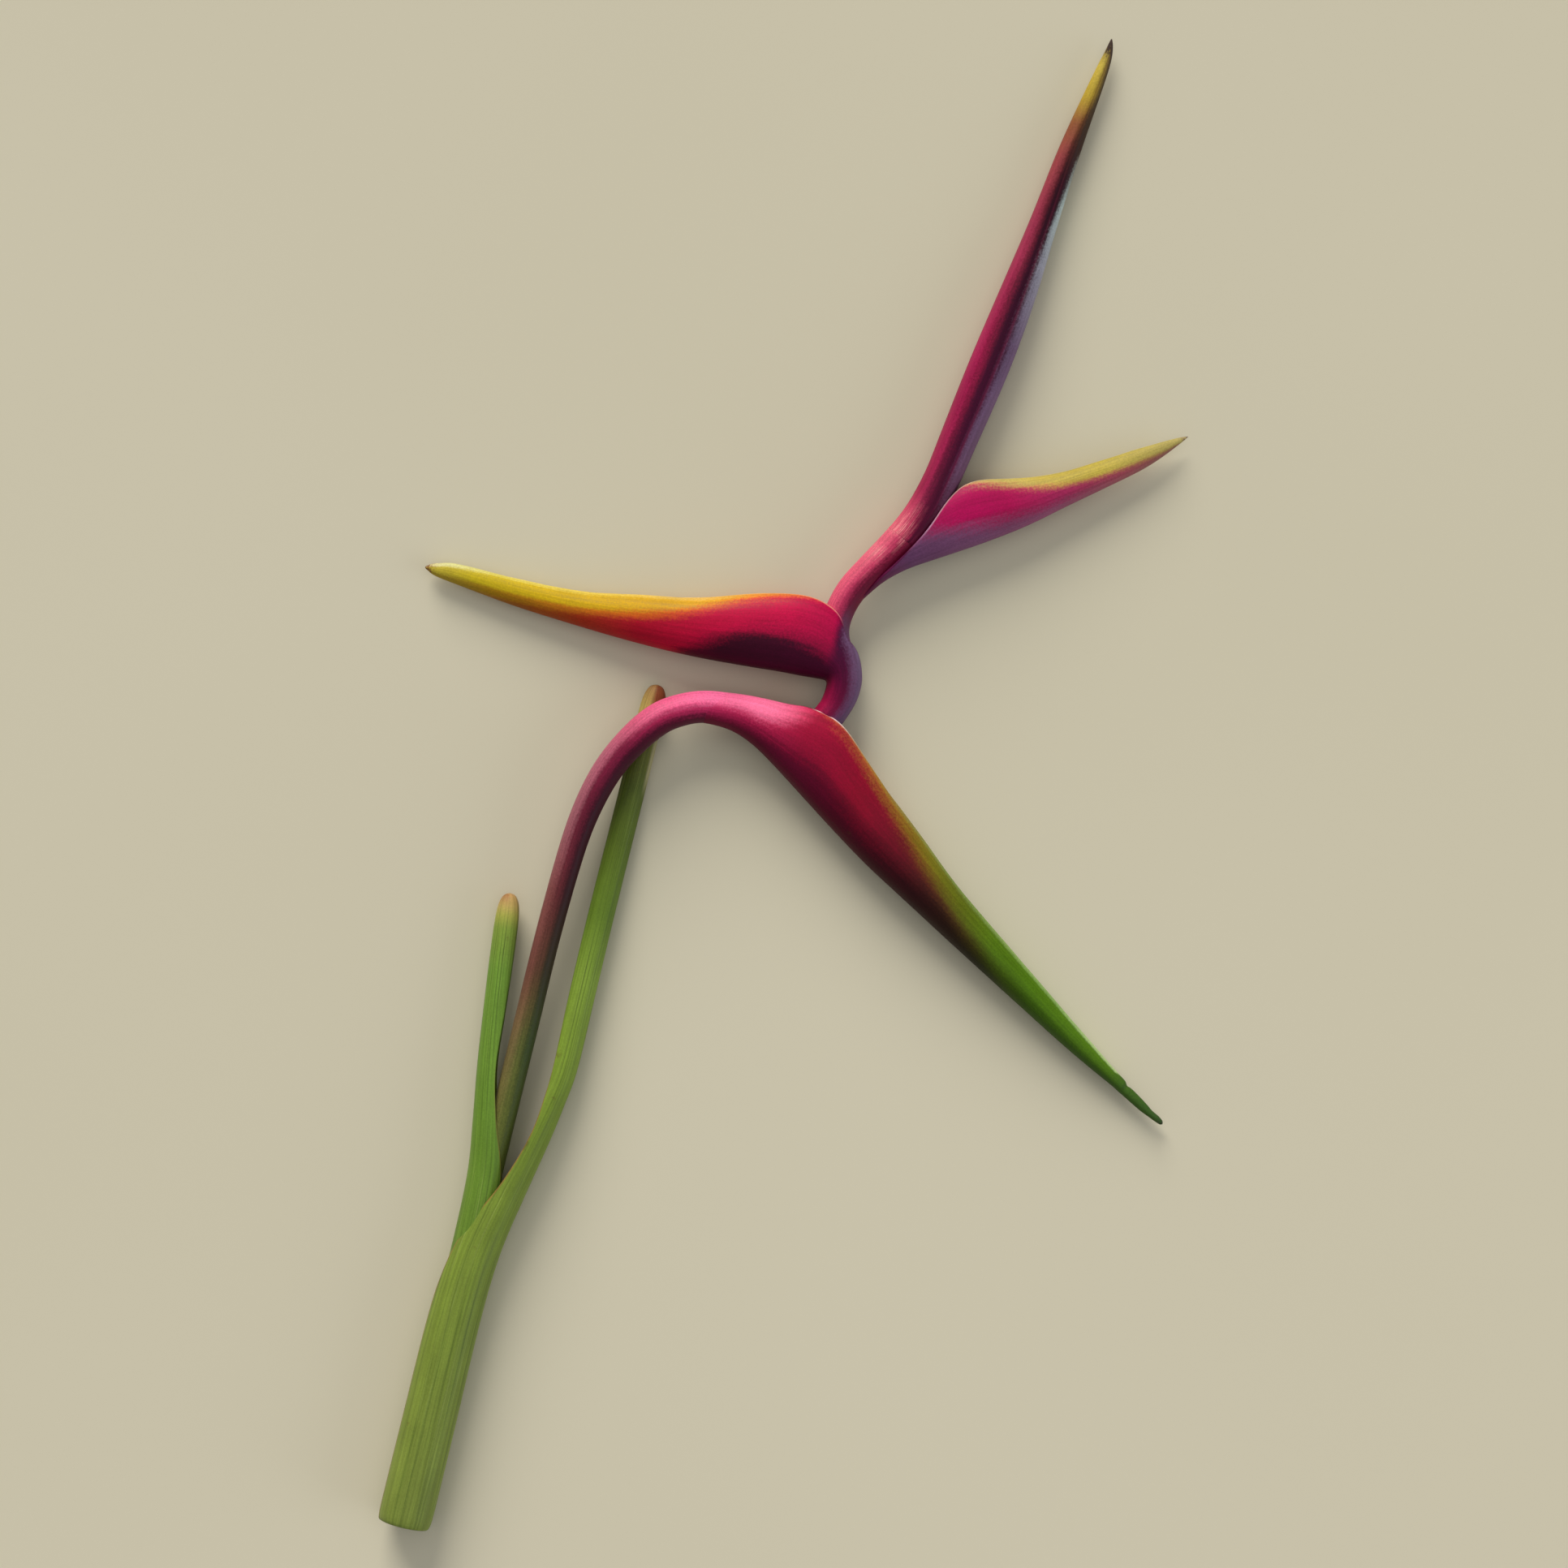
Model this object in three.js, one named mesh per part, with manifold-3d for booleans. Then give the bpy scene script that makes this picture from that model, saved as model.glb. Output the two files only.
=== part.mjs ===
// One cut flowering stem of a heliconia, lying on a level surface.
// Millimetres, +Z up. The zigzag flower head lies flat in the XY plane with its tip toward +Y,
// and the origin is on the surface under the middle of the stem's outline.
// Every growing part is a loft: a closed cylinder whose rings are laid on the stations below.

import * as THREE from "three";
import { mergeVertices } from "three/addons/utils/BufferGeometryUtils.js";
import Module from "manifold-3d";

const wasm = await Module();
wasm.setup();

// Driving dimensions
const CLEARANCE = 0.3;        // gap between a clasping part and what it clasps
const KEEL_WALL = 3.0;        // bract wall along the keel
const MARGIN_WALL = 2.2;      // bract wall under the two margins
const SIDE_WALL = 2.0;        // bract wall on its flanks
const BRACT_SIDES = 20;       // facets round a bract
const STEM_SIDES = 18;        // facets round the stalk and the sheaths
const SLIT_REACH = 4;         // how far the slit between the margins is cut past them
const SLIT_START = 0.1;       // where the slit starts, as a share of the ring's half reach
const SLIT_SIDES = 8;
const SLIT_SQUARENESS = 0.5;
const HOLLOW_START = 2;       // station at which a bract's hollow starts
const FOOT_CLOSING = 0.55;    // how far the hollow draws in at its foot
const TIP_CLOSING = 0.45;     // and at its other end
const LEAST_HALF = 0.5;       // a hollow is never drawn in further than this
const SEAT_REACH = 3;         // how far a seat runs on past the ends of what sits in it
const FLOWER_RADIUS = 2.5;    // thickest part of one flower
const FLOWER_SIDES = 8;
const FLOWER_ROWS = 7;
const FLOWER_START = 3.1;     // station of a bract that its flowers spring from
const FLOWER_SHORT = 0.4;     // how many stations short of the slit's end they stay
const GROUND_SPAN = 2000;
const GROUND_DEPTH = 100;

// Stalk: one curved axis from the cut end up the arch and along the zigzag, with its radius.
// x, y, height of the axis, radius
const STALK = [
  [-168.8, -321.3, 10.45, 5.3], [-147.2, -233.1, 10.6, 5.2], [-131.8, -170.1, 11.0, 5.1],
  [-119.9, -121.8, 11.6, 5.1], [-111.7, -88.2, 12.4, 5.1], [-102.3, -54.6, 13.4, 5.3],
  [-96.2, -37.8, 13.9, 5.6], [-89.8, -25.2, 14.3, 5.9], [-83.6, -16.4, 14.6, 6.1],
  [-76.4, -8.8, 14.8, 6.4], [-70.1, -3.4, 14.8, 6.5], [-63.4, 0.4, 14.5, 6.5],
  [-54.0, 2.9, 13.6, 6.4], [-46.2, 3.0, 12.9, 6.5], [-40.0, 2.0, 12.3, 6.5],
  [-35.0, 0.2, 11.9, 5.9], [-25.2, -3.4, 11.4, 5.9], [-15.5, -5.5, 11.1, 6.0],
  [-7.1, -4.6, 10.9, 6.1], [-0.4, -0.6, 10.8, 6.1], [4.2, 6.6, 10.8, 5.7],
  [5.8, 13.9, 10.8, 5.6], [4.9, 21.4, 10.8, 5.6], [2.6, 29.0, 10.8, 5.7],
  [2.4, 35.7, 10.8, 5.9], [4.9, 42.9, 10.8, 5.7], [9.2, 50.0, 10.9, 5.1],
  [16.2, 57.4, 11.0, 5.1], [23.8, 64.6, 11.4, 5.0], [30.7, 71.4, 11.8, 4.8],
  [36.8, 80.0, 11.5, 4.4], [42.5, 90.5, 10.9, 3.8],
];

// Leaf sheaths: the tube round the stalk's foot, running out into the trimmed leaf stalk.
// x, y, height of the axis, radius across, radius in height
const SHEATH_OUTER = [
  [-168.8, -321.3, 10.45, 10.8, 10.8], [-158.0, -277.2, 10.4, 10.7, 10.7],
  [-148.0, -236.5, 10.3, 10.4, 10.5], [-139.6, -210.0, 10.0, 9.9, 10.2],
  [-129.0, -188.0, 9.6, 8.8, 9.4], [-117.6, -166.5, 9.2, 7.3, 8.2],
  [-110.4, -151.5, 8.9, 6.3, 7.0], [-105.2, -138.6, 8.6, 5.8, 6.2],
  [-98.0, -109.0, 7.6, 5.6, 5.6], [-90.5, -78.0, 6.6, 5.5, 5.3], [-82.0, -44.0, 5.4, 5.4, 4.8],
  [-74.6, -14.0, 4.3, 5.4, 4.2], [-70.4, 3.0, 3.9, 5.2, 3.9], [-68.8, 9.5, 3.8, 3.8, 3.0],
  [-68.2, 12.2, 3.8, 1.4, 1.2],
];
const SHEATH_INNER = [
  [-168.8, -321.3, 10.45, 8.0, 8.0], [-147.2, -233.1, 10.6, 7.9, 7.9],
  [-136.6, -187.0, 10.6, 7.7, 7.8], [-134.6, -163.0, 10.0, 7.0, 7.4],
  [-133.6, -140.0, 9.2, 6.2, 6.6], [-132.0, -118.0, 8.4, 5.4, 5.8],
  [-129.6, -96.0, 7.8, 5.2, 5.3], [-127.6, -80.0, 7.4, 4.9, 5.0],
  [-127.0, -73.5, 7.3, 3.6, 3.8], [-126.8, -70.6, 7.3, 1.4, 1.4],
];

// Bracts: each station is one ring across the bract.
// keel x, keel y, margin x, margin y, height, half width, squareness of the mouth, half slit
const BRACT_1 = [
  [-38.4, -6.6, -33.9, 8.2, 12.1, 7.4, 1.0, 0], [-30.7, -11.6, -25.0, 6.4, 11.7, 8.3, 1.0, 0],
  [-23.1, -19.0, -15.6, 4.6, 11.2, 9.5, 0.8, 0], [-14.7, -28.1, -6.0, 3.6, 10.9, 10.5, 0.6, 4.5],
  [-7.1, -36.5, 5.2, -1.8, 10.7, 11.0, 0.5, 6.7], [3.8, -48.3, 14.9, -16.6, 10.7, 11.0, 0.6, 5.0],
  [14.7, -59.6, 23.5, -30.2, 10.5, 10.8, 0.7, 2.6], [26.0, -70.1, 33.2, -43.0, 9.9, 10.2, 0.8, 1.5],
  [48.7, -91.1, 51.4, -68.3, 8.7, 9.0, 0.85, 1.0], [72.1, -112.4, 75.6, -96.6, 7.4, 7.7, 0.9, 0.7],
  [95.3, -133.3, 98.2, -123.2, 5.7, 5.9, 0.9, 0.5], [114.6, -149.5, 116.0, -143.9, 5.1, 3.3, 0.9, 0],
  [132.3, -162.6, 132.8, -162.0, 5.0, 0.4, 1.0, 0],
];
const BRACT_2 = [
  [-2.9, 6.3, 11.3, 7.6, 10.8, 7.1, 1.0, 0], [-1.4, 10.9, 13.1, 15.5, 10.8, 7.6, 1.0, 0],
  [-1.4, 13.4, 11.6, 23.9, 10.8, 8.4, 0.8, 0], [-4.2, 14.3, 9.0, 32.6, 10.7, 9.4, 0.6, 5.0],
  [-10.5, 15.3, 4.8, 41.6, 10.5, 10.3, 0.5, 6.4], [-20.4, 17.2, -7.4, 47.8, 10.3, 10.6, 0.6, 4.0],
  [-32.3, 19.1, -26.9, 48.4, 10.1, 10.4, 0.7, 2.0], [-55.9, 23.5, -51.4, 46.7, 8.8, 9.1, 0.85, 1.1],
  [-79.5, 29.4, -76.0, 47.9, 7.4, 7.7, 0.9, 0.7], [-102.9, 36.3, -100.4, 49.5, 6.3, 5.9, 0.9, 0.5],
  [-125.9, 43.6, -123.9, 54.3, 5.6, 4.6, 0.9, 0], [-149.1, 52.2, -147.7, 59.8, 5.2, 3.0, 0.9, 0],
  [-159.8, 58.4, -160.1, 59.2, 5.0, 0.4, 1.0, 0],
];
const BRACT_3 = [
  [13.6, 45.6, 4.0, 54.2, 10.9, 6.4, 1.0, 0], [22.0, 53.0, 10.5, 61.9, 10.9, 7.0, 1.0, 0],
  [31.5, 58.0, 20.0, 71.3, 10.6, 7.7, 0.8, 0], [42.4, 61.7, 36.5, 82.9, 10.2, 8.2, 0.6, 4.5],
  [60.1, 67.7, 57.6, 93.2, 9.6, 8.2, 0.6, 3.0], [77.6, 74.5, 73.0, 93.8, 8.8, 7.4, 0.8, 1.2],
  [94.2, 82.7, 89.0, 95.8, 8.0, 6.1, 0.9, 0.6], [111.1, 90.8, 107.4, 100.8, 7.3, 4.6, 0.9, 0],
  [127.8, 99.3, 125.2, 106.6, 6.8, 2.8, 0.9, 0], [143.0, 110.5, 143.4, 111.2, 6.5, 0.35, 1.0, 0],
];
const BRACT_4 = [
  [25.2, 75.2, 36.1, 65.9, 11.8, 7.2, 1.0, 0], [31.2, 82.8, 44.5, 77.7, 11.5, 7.6, 1.0, 0],
  [38.0, 96.6, 52.0, 91.4, 10.7, 8.2, 1.0, 0], [43.9, 111.3, 58.0, 105.8, 9.6, 8.6, 1.0, 0],
  [55.5, 140.6, 70.8, 134.7, 8.3, 8.6, 1.0, 0], [67.7, 169.0, 81.5, 163.8, 7.5, 7.8, 1.0, 0],
  [80.1, 197.7, 90.5, 193.7, 6.3, 6.2, 1.0, 0], [91.8, 226.9, 100.0, 223.7, 5.8, 4.7, 1.0, 0],
  [105.1, 255.1, 110.2, 253.2, 5.5, 2.7, 1.0, 0], [111.9, 269.1, 112.5, 269.0, 5.4, 0.35, 1.0, 0],
];

// Flowers in a bract: how far out of its middle each one lies toward the margin and toward
// one flank, as shares of the ring, and the station that it ends at.
const FLOWERS = [[-0.1, 0.26, 6.4], [-0.1, -0.26, 6.1], [-0.45, 0, 7.0], [0.28, 0, 5.4]];

// Solids
function toSolid(geometry) {
  const position = geometry.getAttribute("position");
  const index = geometry.getIndex();
  return new wasm.Manifold(new wasm.Mesh({
    numProp: 3,
    vertProperties: new Float32Array(position.array),
    triVerts: new Uint32Array(index.array),
  }));
}

// A closed body through the given rings. Each ring has a centre, a half vector to its far side
// (reach), a half vector across it (side) and a squareness for its far half.
function loft(rings, sides) {
  const rows = rings.length - 1;
  let geometry = new THREE.CylinderGeometry(1, 1, 1, sides, rows);
  geometry.deleteAttribute("normal");
  geometry.deleteAttribute("uv");
  geometry = mergeVertices(geometry);
  const position = geometry.getAttribute("position");
  const point = new THREE.Vector3();
  for (let i = 0; i < position.count; i++) {
    point.fromBufferAttribute(position, i);
    const ring = rings[Math.round((0.5 - point.y) * rows)];
    const angle = Math.atan2(point.x, point.z);
    const onRim = Math.hypot(point.x, point.z) > 0.5 ? 1 : 0;
    const along = -Math.cos(angle);
    const power = along > 0 ? ring.square : 1;
    const across = Math.sign(Math.sin(angle)) * Math.abs(Math.sin(angle)) ** power;
    point.copy(ring.centre)
      .addScaledVector(ring.reach, along * onRim)
      .addScaledVector(ring.side, across * onRim);
    position.setXYZ(i, point.x, point.y, point.z);
  }
  const solid = toSolid(geometry);
  if (solid.volume() > 0) return solid;
  const index = geometry.getIndex();
  for (let i = 0; i < index.count; i += 3) {
    const first = index.getX(i);
    index.setX(i, index.getX(i + 1));
    index.setX(i + 1, first);
  }
  return toSolid(geometry);
}

// Rings square to a curved axis, grown by a margin all round.
function stemRings(stations, grow = 0) {
  const last = stations.length - 1;
  return stations.map((station, i) => {
    const [x, y, z, across, inHeight = across] = station;
    const before = stations[Math.max(i - 1, 0)];
    const after = stations[Math.min(i + 1, last)];
    const heading = Math.atan2(after[1] - before[1], after[0] - before[0]);
    return {
      centre: new THREE.Vector3(x, y, z),
      reach: new THREE.Vector3(-Math.sin(heading), Math.cos(heading), 0)
        .multiplyScalar(across + grow),
      side: new THREE.Vector3(0, 0, inHeight + grow),
      square: 1,
    };
  });
}

// The same stem with a gap all round and pushed out at both ends, to cut its seat elsewhere.
function seatFor(stations) {
  const rings = stemRings(stations, CLEARANCE);
  const ends = [[rings[0], rings[1]], [rings[rings.length - 1], rings[rings.length - 2]]];
  for (const [end, neighbour] of ends) {
    const outward = end.centre.clone().sub(neighbour.centre).setLength(SEAT_REACH);
    end.centre.add(outward);
  }
  return loft(rings, STEM_SIDES);
}

function bractRing([keelX, keelY, marginX, marginY, height, halfWidth, square]) {
  const keel = new THREE.Vector3(keelX, keelY, height);
  const margin = new THREE.Vector3(marginX, marginY, height);
  return {
    centre: keel.clone().add(margin).multiplyScalar(0.5),
    reach: margin.clone().sub(keel).multiplyScalar(0.5),
    side: new THREE.Vector3(0, 0, halfWidth),
    square,
  };
}

// The hollow of a bract: its rings moved in by the wall, closing toward both ends.
function hollowRings(stations, first, last, extra) {
  const rings = [];
  for (let i = first; i <= last; i++) {
    const ring = bractRing(stations[i]);
    const half = ring.reach.length();
    const closing = i === first ? FOOT_CLOSING : i === last ? TIP_CLOSING : 1;
    const keelIn = KEEL_WALL + extra;
    const marginIn = MARGIN_WALL + extra;
    const direction = ring.reach.clone().normalize();
    const reach = Math.max((half - (keelIn + marginIn) / 2) * closing, LEAST_HALF);
    ring.centre.addScaledVector(direction, (keelIn - marginIn) / 2);
    ring.reach.setLength(reach);
    const side = Math.max((ring.side.length() - SIDE_WALL - extra) * closing, LEAST_HALF);
    ring.side.setLength(side);
    rings.push(ring);
  }
  return rings;
}

// The slit between the two margins, from the middle of the bract to past them.
function slitRings(stations) {
  const rings = [];
  for (const station of stations) {
    const halfSlit = station[7];
    if (halfSlit <= 0) continue;
    const ring = bractRing(station);
    const half = ring.reach.length();
    const direction = ring.reach.clone().normalize();
    const start = half * SLIT_START;
    const end = half + SLIT_REACH;
    ring.centre.addScaledVector(direction, (start + end) / 2);
    ring.reach.setLength((end - start) / 2);
    ring.side.setLength(halfSlit);
    ring.square = SLIT_SQUARENESS;
    rings.push(ring);
  }
  return rings;
}

function largest(solid) {
  const bodies = solid.decompose();
  bodies.sort((a, b) => b.volume() - a.volume());
  return bodies[0];
}

// The pieces
const below = new THREE.BoxGeometry(GROUND_SPAN, GROUND_SPAN, GROUND_DEPTH);
below.deleteAttribute("normal");
below.deleteAttribute("uv");
const ground = toSolid(mergeVertices(below.translate(0, 0, -GROUND_DEPTH / 2)));
const onSurface = (solid) => largest(solid.subtract(ground));

const stalk = loft(stemRings(STALK), STEM_SIDES);
const stalkSeat = seatFor(STALK);
const innerSeat = seatFor(SHEATH_INNER);

const sheathInner = loft(stemRings(SHEATH_INNER), STEM_SIDES).subtract(stalkSeat);
const sheathOuter = loft(stemRings(SHEATH_OUTER), STEM_SIDES)
  .subtract(innerSeat).subtract(stalkSeat);

// The last station that the slit reaches.
function lastSlit(stations) {
  return stations.reduce((last, station, i) => (station[7] > 0 ? i : last), 0);
}

function hollow(stations, extra) {
  return loft(hollowRings(stations, HOLLOW_START, lastSlit(stations), extra), BRACT_SIDES);
}

// A boat-shaped bract: closed round the stalk at its foot, open along its margins.
function openBract(stations) {
  return loft(stations.map(bractRing), BRACT_SIDES)
    .subtract(hollow(stations, 0))
    .subtract(loft(slitRings(stations), SLIT_SIDES))
    .subtract(stalkSeat);
}

// A bract's rings with a gap all round them.
function clearOf(stations) {
  return stations.map((station) => {
    const ring = bractRing(station);
    ring.reach.setLength(ring.reach.length() + CLEARANCE);
    ring.side.setLength(ring.side.length() + CLEARANCE);
    return ring;
  });
}

const bract1 = openBract(BRACT_1);
const bract2 = openBract(BRACT_2);
const bract4 = loft(BRACT_4.map(bractRing), BRACT_SIDES).subtract(stalkSeat);
const bract4Seat = loft(clearOf(BRACT_4), BRACT_SIDES);
const bract3 = openBract(BRACT_3).subtract(bract4Seat);

// A bunch of slim flowers lying side by side in the bract, joined where they spring from it.
function flowerCluster(stations, away) {
  let cluster = null;
  for (const [along, across, lastStation] of FLOWERS) {
    const end = Math.min(lastStation, lastSlit(stations) - FLOWER_SHORT);
    const rings = [];
    for (let row = 0; row <= FLOWER_ROWS; row++) {
      const t = row / FLOWER_ROWS;
      const at = FLOWER_START + (end - FLOWER_START) * t;
      const i = Math.min(Math.floor(at), stations.length - 2);
      const a = bractRing(stations[i]);
      const b = bractRing(stations[i + 1]);
      const centre = a.centre.clone().lerp(b.centre, at - i);
      const reach = a.reach.clone().lerp(b.reach, at - i);
      const side = a.side.clone().lerp(b.side, at - i);
      // Together at the foot, widest apart before the middle, closing again toward the tips
      const spread = 0.35 + 0.65 * Math.sin(Math.PI * Math.min(t * 0.9 + 0.1, 1));
      centre.addScaledVector(reach, along * spread).addScaledVector(side, across * spread);
      const radius = FLOWER_RADIUS * (0.95 - 0.8 * t ** 2.2);
      rings.push({
        centre,
        reach: reach.clone().setLength(radius),
        side: new THREE.Vector3(0, 0, radius),
        square: 1,
      });
    }
    const flower = loft(rings, FLOWER_SIDES);
    cluster = cluster ? cluster.add(flower) : flower;
  }
  cluster = cluster.intersect(hollow(stations, CLEARANCE)).subtract(stalkSeat);
  for (const other of away) cluster = cluster.subtract(other);
  return largest(cluster);
}

// Name, solid, colour, roughness
const pieces = [
  ["flower_stalk", stalk, 0x8a2440, 0.55],
  ["leaf_sheath_outer", sheathOuter, 0x67802c, 0.6],
  ["leaf_sheath_inner", sheathInner, 0x6a8a2c, 0.6],
  ["bract_1_basal", bract1, 0x8c1030, 0.5],
  ["bract_2", bract2, 0xa50a3e, 0.5],
  ["bract_3", bract3, 0x9c0f46, 0.5],
  ["bract_4_tip", bract4, 0x6a0a30, 0.5],
  ["flower_cluster_1", flowerCluster(BRACT_1, []), 0xc9c56a, 0.6],
  ["flower_cluster_2", flowerCluster(BRACT_2, []), 0xc9c56a, 0.6],
  ["flower_cluster_3", flowerCluster(BRACT_3, [bract4Seat]), 0xc9c56a, 0.6],
];

const low = new THREE.Vector3(Infinity, Infinity, Infinity);
const high = new THREE.Vector3(-Infinity, -Infinity, -Infinity);
const lying = pieces.map(([name, solid, colour, roughness]) => {
  const rested = onSurface(solid);
  const box = rested.boundingBox();
  low.min(new THREE.Vector3(...box.min));
  high.max(new THREE.Vector3(...box.max));
  return [name, rested, colour, roughness];
});

const stem = new THREE.Group();
stem.position.set(-(low.x + high.x) / 2, -(low.y + high.y) / 2, 0);

for (const [name, solid, colour, roughness] of lying) {
  const mesh = solid.getMesh();
  const geometry = new THREE.BufferGeometry();
  geometry.setAttribute("position", new THREE.BufferAttribute(mesh.vertProperties, 3));
  geometry.setIndex(new THREE.BufferAttribute(mesh.triVerts, 1));
  const material = new THREE.MeshStandardMaterial({ color: colour, roughness, metalness: 0 });
  const piece = new THREE.Mesh(geometry, material);
  piece.name = name;
  stem.add(piece);
}

export default stem;
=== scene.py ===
import math
import random

import bmesh
import bpy
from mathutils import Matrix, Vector


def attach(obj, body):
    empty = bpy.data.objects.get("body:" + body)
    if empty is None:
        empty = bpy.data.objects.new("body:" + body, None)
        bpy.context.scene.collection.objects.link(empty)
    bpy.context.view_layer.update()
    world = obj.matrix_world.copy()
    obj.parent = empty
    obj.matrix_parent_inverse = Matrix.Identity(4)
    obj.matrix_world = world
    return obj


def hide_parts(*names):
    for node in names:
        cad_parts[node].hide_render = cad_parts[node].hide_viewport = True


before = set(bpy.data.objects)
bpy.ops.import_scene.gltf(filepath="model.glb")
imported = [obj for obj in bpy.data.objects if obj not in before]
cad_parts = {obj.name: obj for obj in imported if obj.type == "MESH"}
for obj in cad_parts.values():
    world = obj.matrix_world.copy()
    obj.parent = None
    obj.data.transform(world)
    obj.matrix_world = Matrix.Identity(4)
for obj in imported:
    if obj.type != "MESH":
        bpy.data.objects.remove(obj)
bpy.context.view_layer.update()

# Sizes in millimetres, in the flower's own frame: x and y run along the surface
# that the stem lies on, with zero at the mouth of the lowest bract, and z is height.
MM = 0.001
ORIGIN_X = 17.945       # where the flower's own zero lies in the part's frame
ORIGIN_Y = 27.385
FLOOR_GAP = 0.03        # the skin stays this far above the surface it lies on

# Stalk: x, y, height of the axis, radius
STALK = [
    (-168.8, -321.3, 10.45, 5.3), (-147.2, -233.1, 10.6, 5.2), (-131.8, -170.1, 11.0, 5.1),
    (-119.9, -121.8, 11.6, 5.1), (-111.7, -88.2, 12.4, 5.1), (-102.3, -54.6, 13.4, 5.3),
    (-96.2, -37.8, 13.9, 5.6), (-89.8, -25.2, 14.3, 5.9), (-83.6, -16.4, 14.6, 6.1),
    (-76.4, -8.8, 14.8, 6.4), (-70.1, -3.4, 14.8, 6.5), (-63.4, 0.4, 14.5, 6.5),
    (-54.0, 2.9, 13.6, 6.4), (-46.2, 3.0, 12.9, 6.5), (-40.0, 2.0, 12.3, 6.5),
    (-33.0, -0.6, 11.9, 6.3), (-25.2, -3.4, 11.4, 6.1), (-15.5, -5.5, 11.1, 5.9),
    (-7.1, -4.6, 10.9, 5.2), (-0.4, -0.6, 10.8, 5.2), (4.2, 6.6, 10.8, 5.4),
    (5.8, 13.9, 10.8, 5.6), (4.9, 21.4, 10.8, 5.8), (2.6, 29.0, 10.8, 5.7),
    (2.4, 35.7, 10.8, 5.8), (4.9, 42.9, 10.8, 5.8), (9.2, 50.0, 10.9, 6.0),
    (16.2, 57.4, 11.0, 6.2), (23.8, 64.6, 11.4, 6.7), (29.4, 70.0, 11.7, 7.08),
    (33.2, 75.0, 11.7, 5.6), (37.6, 82.0, 11.4, 4.4), (42.5, 90.5, 10.9, 3.4),
]

# Leaf sheaths running out into trimmed leaf stalks.
# x, y, height of the axis, radius across, radius in height, wall, half angle left open
SHEATH_OUTER = [
    (-168.8, -321.3, 10.45, 10.8, 10.8, 2.3, 4), (-158.0, -277.2, 10.4, 10.7, 10.7, 2.3, 4),
    (-148.0, -236.5, 10.3, 10.4, 10.5, 2.2, 5), (-139.6, -210.0, 10.0, 9.9, 10.2, 2.1, 34),
    (-129.0, -188.0, 9.6, 8.8, 9.4, 2.0, 74), (-117.6, -166.5, 9.2, 7.3, 8.2, 2.2, 84),
    (-110.4, -151.5, 8.9, 6.3, 7.0, 2.6, 66), (-105.2, -138.6, 8.6, 5.8, 6.2, 3.2, 44),
    (-98.0, -109.0, 7.6, 5.6, 5.6, 3.8, 26), (-90.5, -78.0, 6.6, 5.5, 5.3, 3.9, 20),
    (-82.0, -44.0, 5.4, 5.4, 4.8, 3.4, 18), (-74.6, -14.0, 4.3, 5.4, 4.2, 3.0, 18),
    (-70.4, 3.0, 3.9, 5.2, 3.9, 2.6, 16), (-68.8, 9.5, 3.8, 3.8, 3.0, 1.6, 8),
    (-68.2, 12.2, 3.8, 1.4, 1.2, 0.5, 6),
]
SHEATH_INNER = [
    (-168.8, -321.3, 10.45, 8.0, 8.0, 2.3, 4), (-147.2, -233.1, 10.6, 7.9, 7.9, 2.3, 4),
    (-136.6, -187.0, 10.6, 7.7, 7.8, 2.1, 26), (-134.6, -163.0, 10.0, 7.0, 7.4, 1.9, 62),
    (-133.6, -140.0, 9.2, 6.2, 6.6, 2.1, 74), (-132.0, -118.0, 8.4, 5.4, 5.8, 2.8, 48),
    (-129.6, -96.0, 7.8, 5.2, 5.3, 3.4, 28), (-127.6, -80.0, 7.4, 4.9, 5.0, 3.3, 22),
    (-127.0, -73.5, 7.3, 3.6, 3.8, 1.6, 10), (-126.8, -70.6, 7.3, 1.4, 1.4, 0.5, 6),
]

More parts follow.
